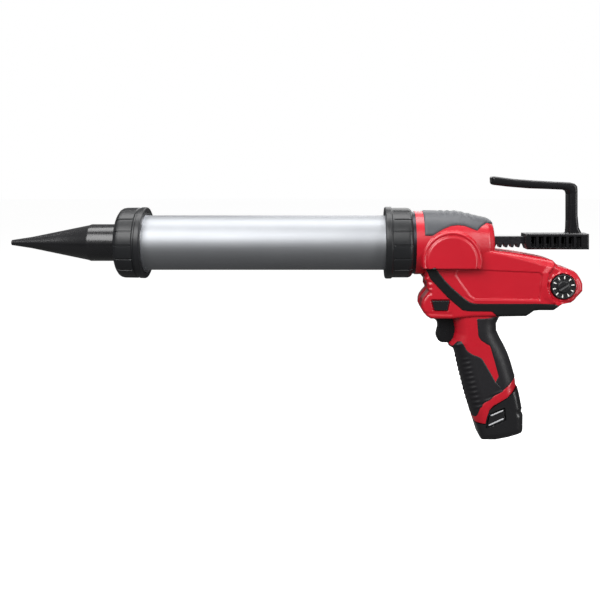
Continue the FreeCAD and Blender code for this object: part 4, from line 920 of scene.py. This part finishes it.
def panels(front, back, depth, count=16):
    """Lowers the radius in a narrow groove between each of count panels, from front to back."""
    def shape(x, radius, angle):
        phase = np.abs((angle * count / (2 * math.pi)) % 1.0 - 0.5) * 2
        groove = ease((phase - 0.86) / 0.07)
        along = ease((x - front) / 0.8) * ease((back - x) / 0.8)
        return np.where(radius > 33.0, radius - depth * groove * along, radius)
    return shape


stand_for(soft_nozzle(), "nozzle_body", nozzle_black, "black_plastic", "nozzle")
nose_cap = turned("front_screw_cap", [
    (-308, 19.5), (-308, 22), (-307.2, 28), (-306.4, 32.2), (-304.6, 34.8), (-302.6, 36.0),
    (-300, 36.5), (-287.4, 36.7), (-286.9, 36.2), (-286.5, 35.6), (-285.3, 35.6), (-284.9, 36.4),
    (-284.2, 37.0), (-280.2, 37.1), (-279.4, 36.8), (-279, 36.0), (-279, 31.7), (-303, 31.7),
    (-303, 19.5)], 480, panels(-306.0, -286.8, 0.8), step=1.0)
stand_for(nose_cap, "front_cap_body", cap_black, "black_plastic", "front_cap")
collar = turned("rear_screw_collar", [
    (-30, 28.8), (-30, 36.6), (-29.4, 37.3), (-28.6, 37.6), (-24, 37.6), (-23.1, 37.2),
    (-22.6, 36.4), (-6.4, 36.4), (-4.6, 36.0), (-3.2, 35.2), (-2.3, 34.0), (-2, 33.1),
    (-22.4, 33.1), (-22.4, 28.8)], 480, panels(-21.8, -2.5, 0.8), step=1.0)
stand_for(collar, "rear_collar_body", cap_black, "black_plastic", "rear_collar")

# ---------------------------------------------------------------- floor, light and camera

FLOOR_DROP = 0.12                        # room below for the battery to slide out
FLOOR_REACH = 12.0
floor_z = cad_box[0][2] - FLOOR_DROP
floor_mesh = bpy.data.meshes.new("floor")
floor_mesh.from_pydata([(FLOOR_REACH * x, FLOOR_REACH * y, floor_z)
                        for x, y in ((-1, -1), (1, -1), (1, 1), (-1, 1))], [], [(0, 1, 2, 3)])
floor = placed("floor", floor_mesh)
paper = Finish("pale_floor", Roughness=0.9, Emission_Strength=0.86)
paper.shader.inputs["Emission Color"].default_value = (1, 1, 1, 1)
paper.feed("Base Color", paper.blend(paper.noise(3.0), (0.55, 0.55, 0.55, 1), (0.5, 0.5, 0.5, 1)))
matt = paper.node("ShaderNodeBsdfDiffuse", {}, {"Color": (0.09, 0.09, 0.09, 1)})
seen = paper.node("ShaderNodeLightPath")
bright = Link(paper, paper.shader.outputs[0])
both = paper.node("ShaderNodeMixShader", {}, {0: seen, 1: matt, 2: bright})
paper.tree.links.new(both.out, paper.tree.nodes["Material Output"].inputs["Surface"])
floor.data.materials.append(paper.material)


def lamp(name, place, aim, size, power):
    """A rectangular soft lamp at a place, turned so that it faces the point aim."""
    data = bpy.data.lights.new(name, "AREA")
    data.shape = "RECTANGLE"
    data.size, data.size_y = size
    data.energy = power
    made = placed(name, data)
    made.location = place
    way = np.array(aim) - np.array(place)
    flat = math.hypot(way[0], way[1])
    made.rotation_euler = (math.atan2(flat, -way[2]), 0, math.atan2(-way[0], way[1]))


lamp("key_softbox", (-0.55, -1.1, 0.75), (0.0, 0, -0.03), (1.3, 0.8), 24)
lamp("top_softbox", (-0.1, 0.1, 1.1), (-0.1, 0, 0), (1.8, 0.6), 20)
lamp("right_strip", (0.95, -0.75, 0.15), (0.08, 0, -0.1), (0.35, 1.3), 9)
lamp("rear_softbox", (0.3, 1.2, 0.7), (0.0, 0, 0), (1.4, 0.8), 8)

world = bpy.data.worlds.new("studio")
bpy.context.scene.world = world
world.use_nodes = True
tree = world.node_tree
room = tree.nodes["Background"]
room.inputs["Color"].default_value = (1, 1, 1, 1)
room.inputs["Strength"].default_value = 0.22
sky = tree.nodes.new("ShaderNodeBackground")
sky.inputs["Color"].default_value = (1, 1, 1, 1)
path = tree.nodes.new("ShaderNodeLightPath")
both = tree.nodes.new("ShaderNodeMixShader")
tree.links.new(path.outputs["Is Camera Ray"], both.inputs[0])
tree.links.new(room.outputs[0], both.inputs[1])
tree.links.new(sky.outputs[0], both.inputs[2])
tree.links.new(both.outputs[0], tree.nodes["World Output"].inputs["Surface"])

camera_data = bpy.data.cameras.new("camera")
camera = placed("camera", camera_data)
camera.location = (-0.0746, -0.819, 0.0707)
camera.rotation_euler = (math.radians(90), 0, 0)
camera_data.lens = 46.8
camera_data.sensor_width = 36
camera_data.shift_x = -0.07
camera_data.shift_y = -0.208
bpy.context.scene.camera = camera
bpy.context.scene.view_settings.view_transform = "Standard"
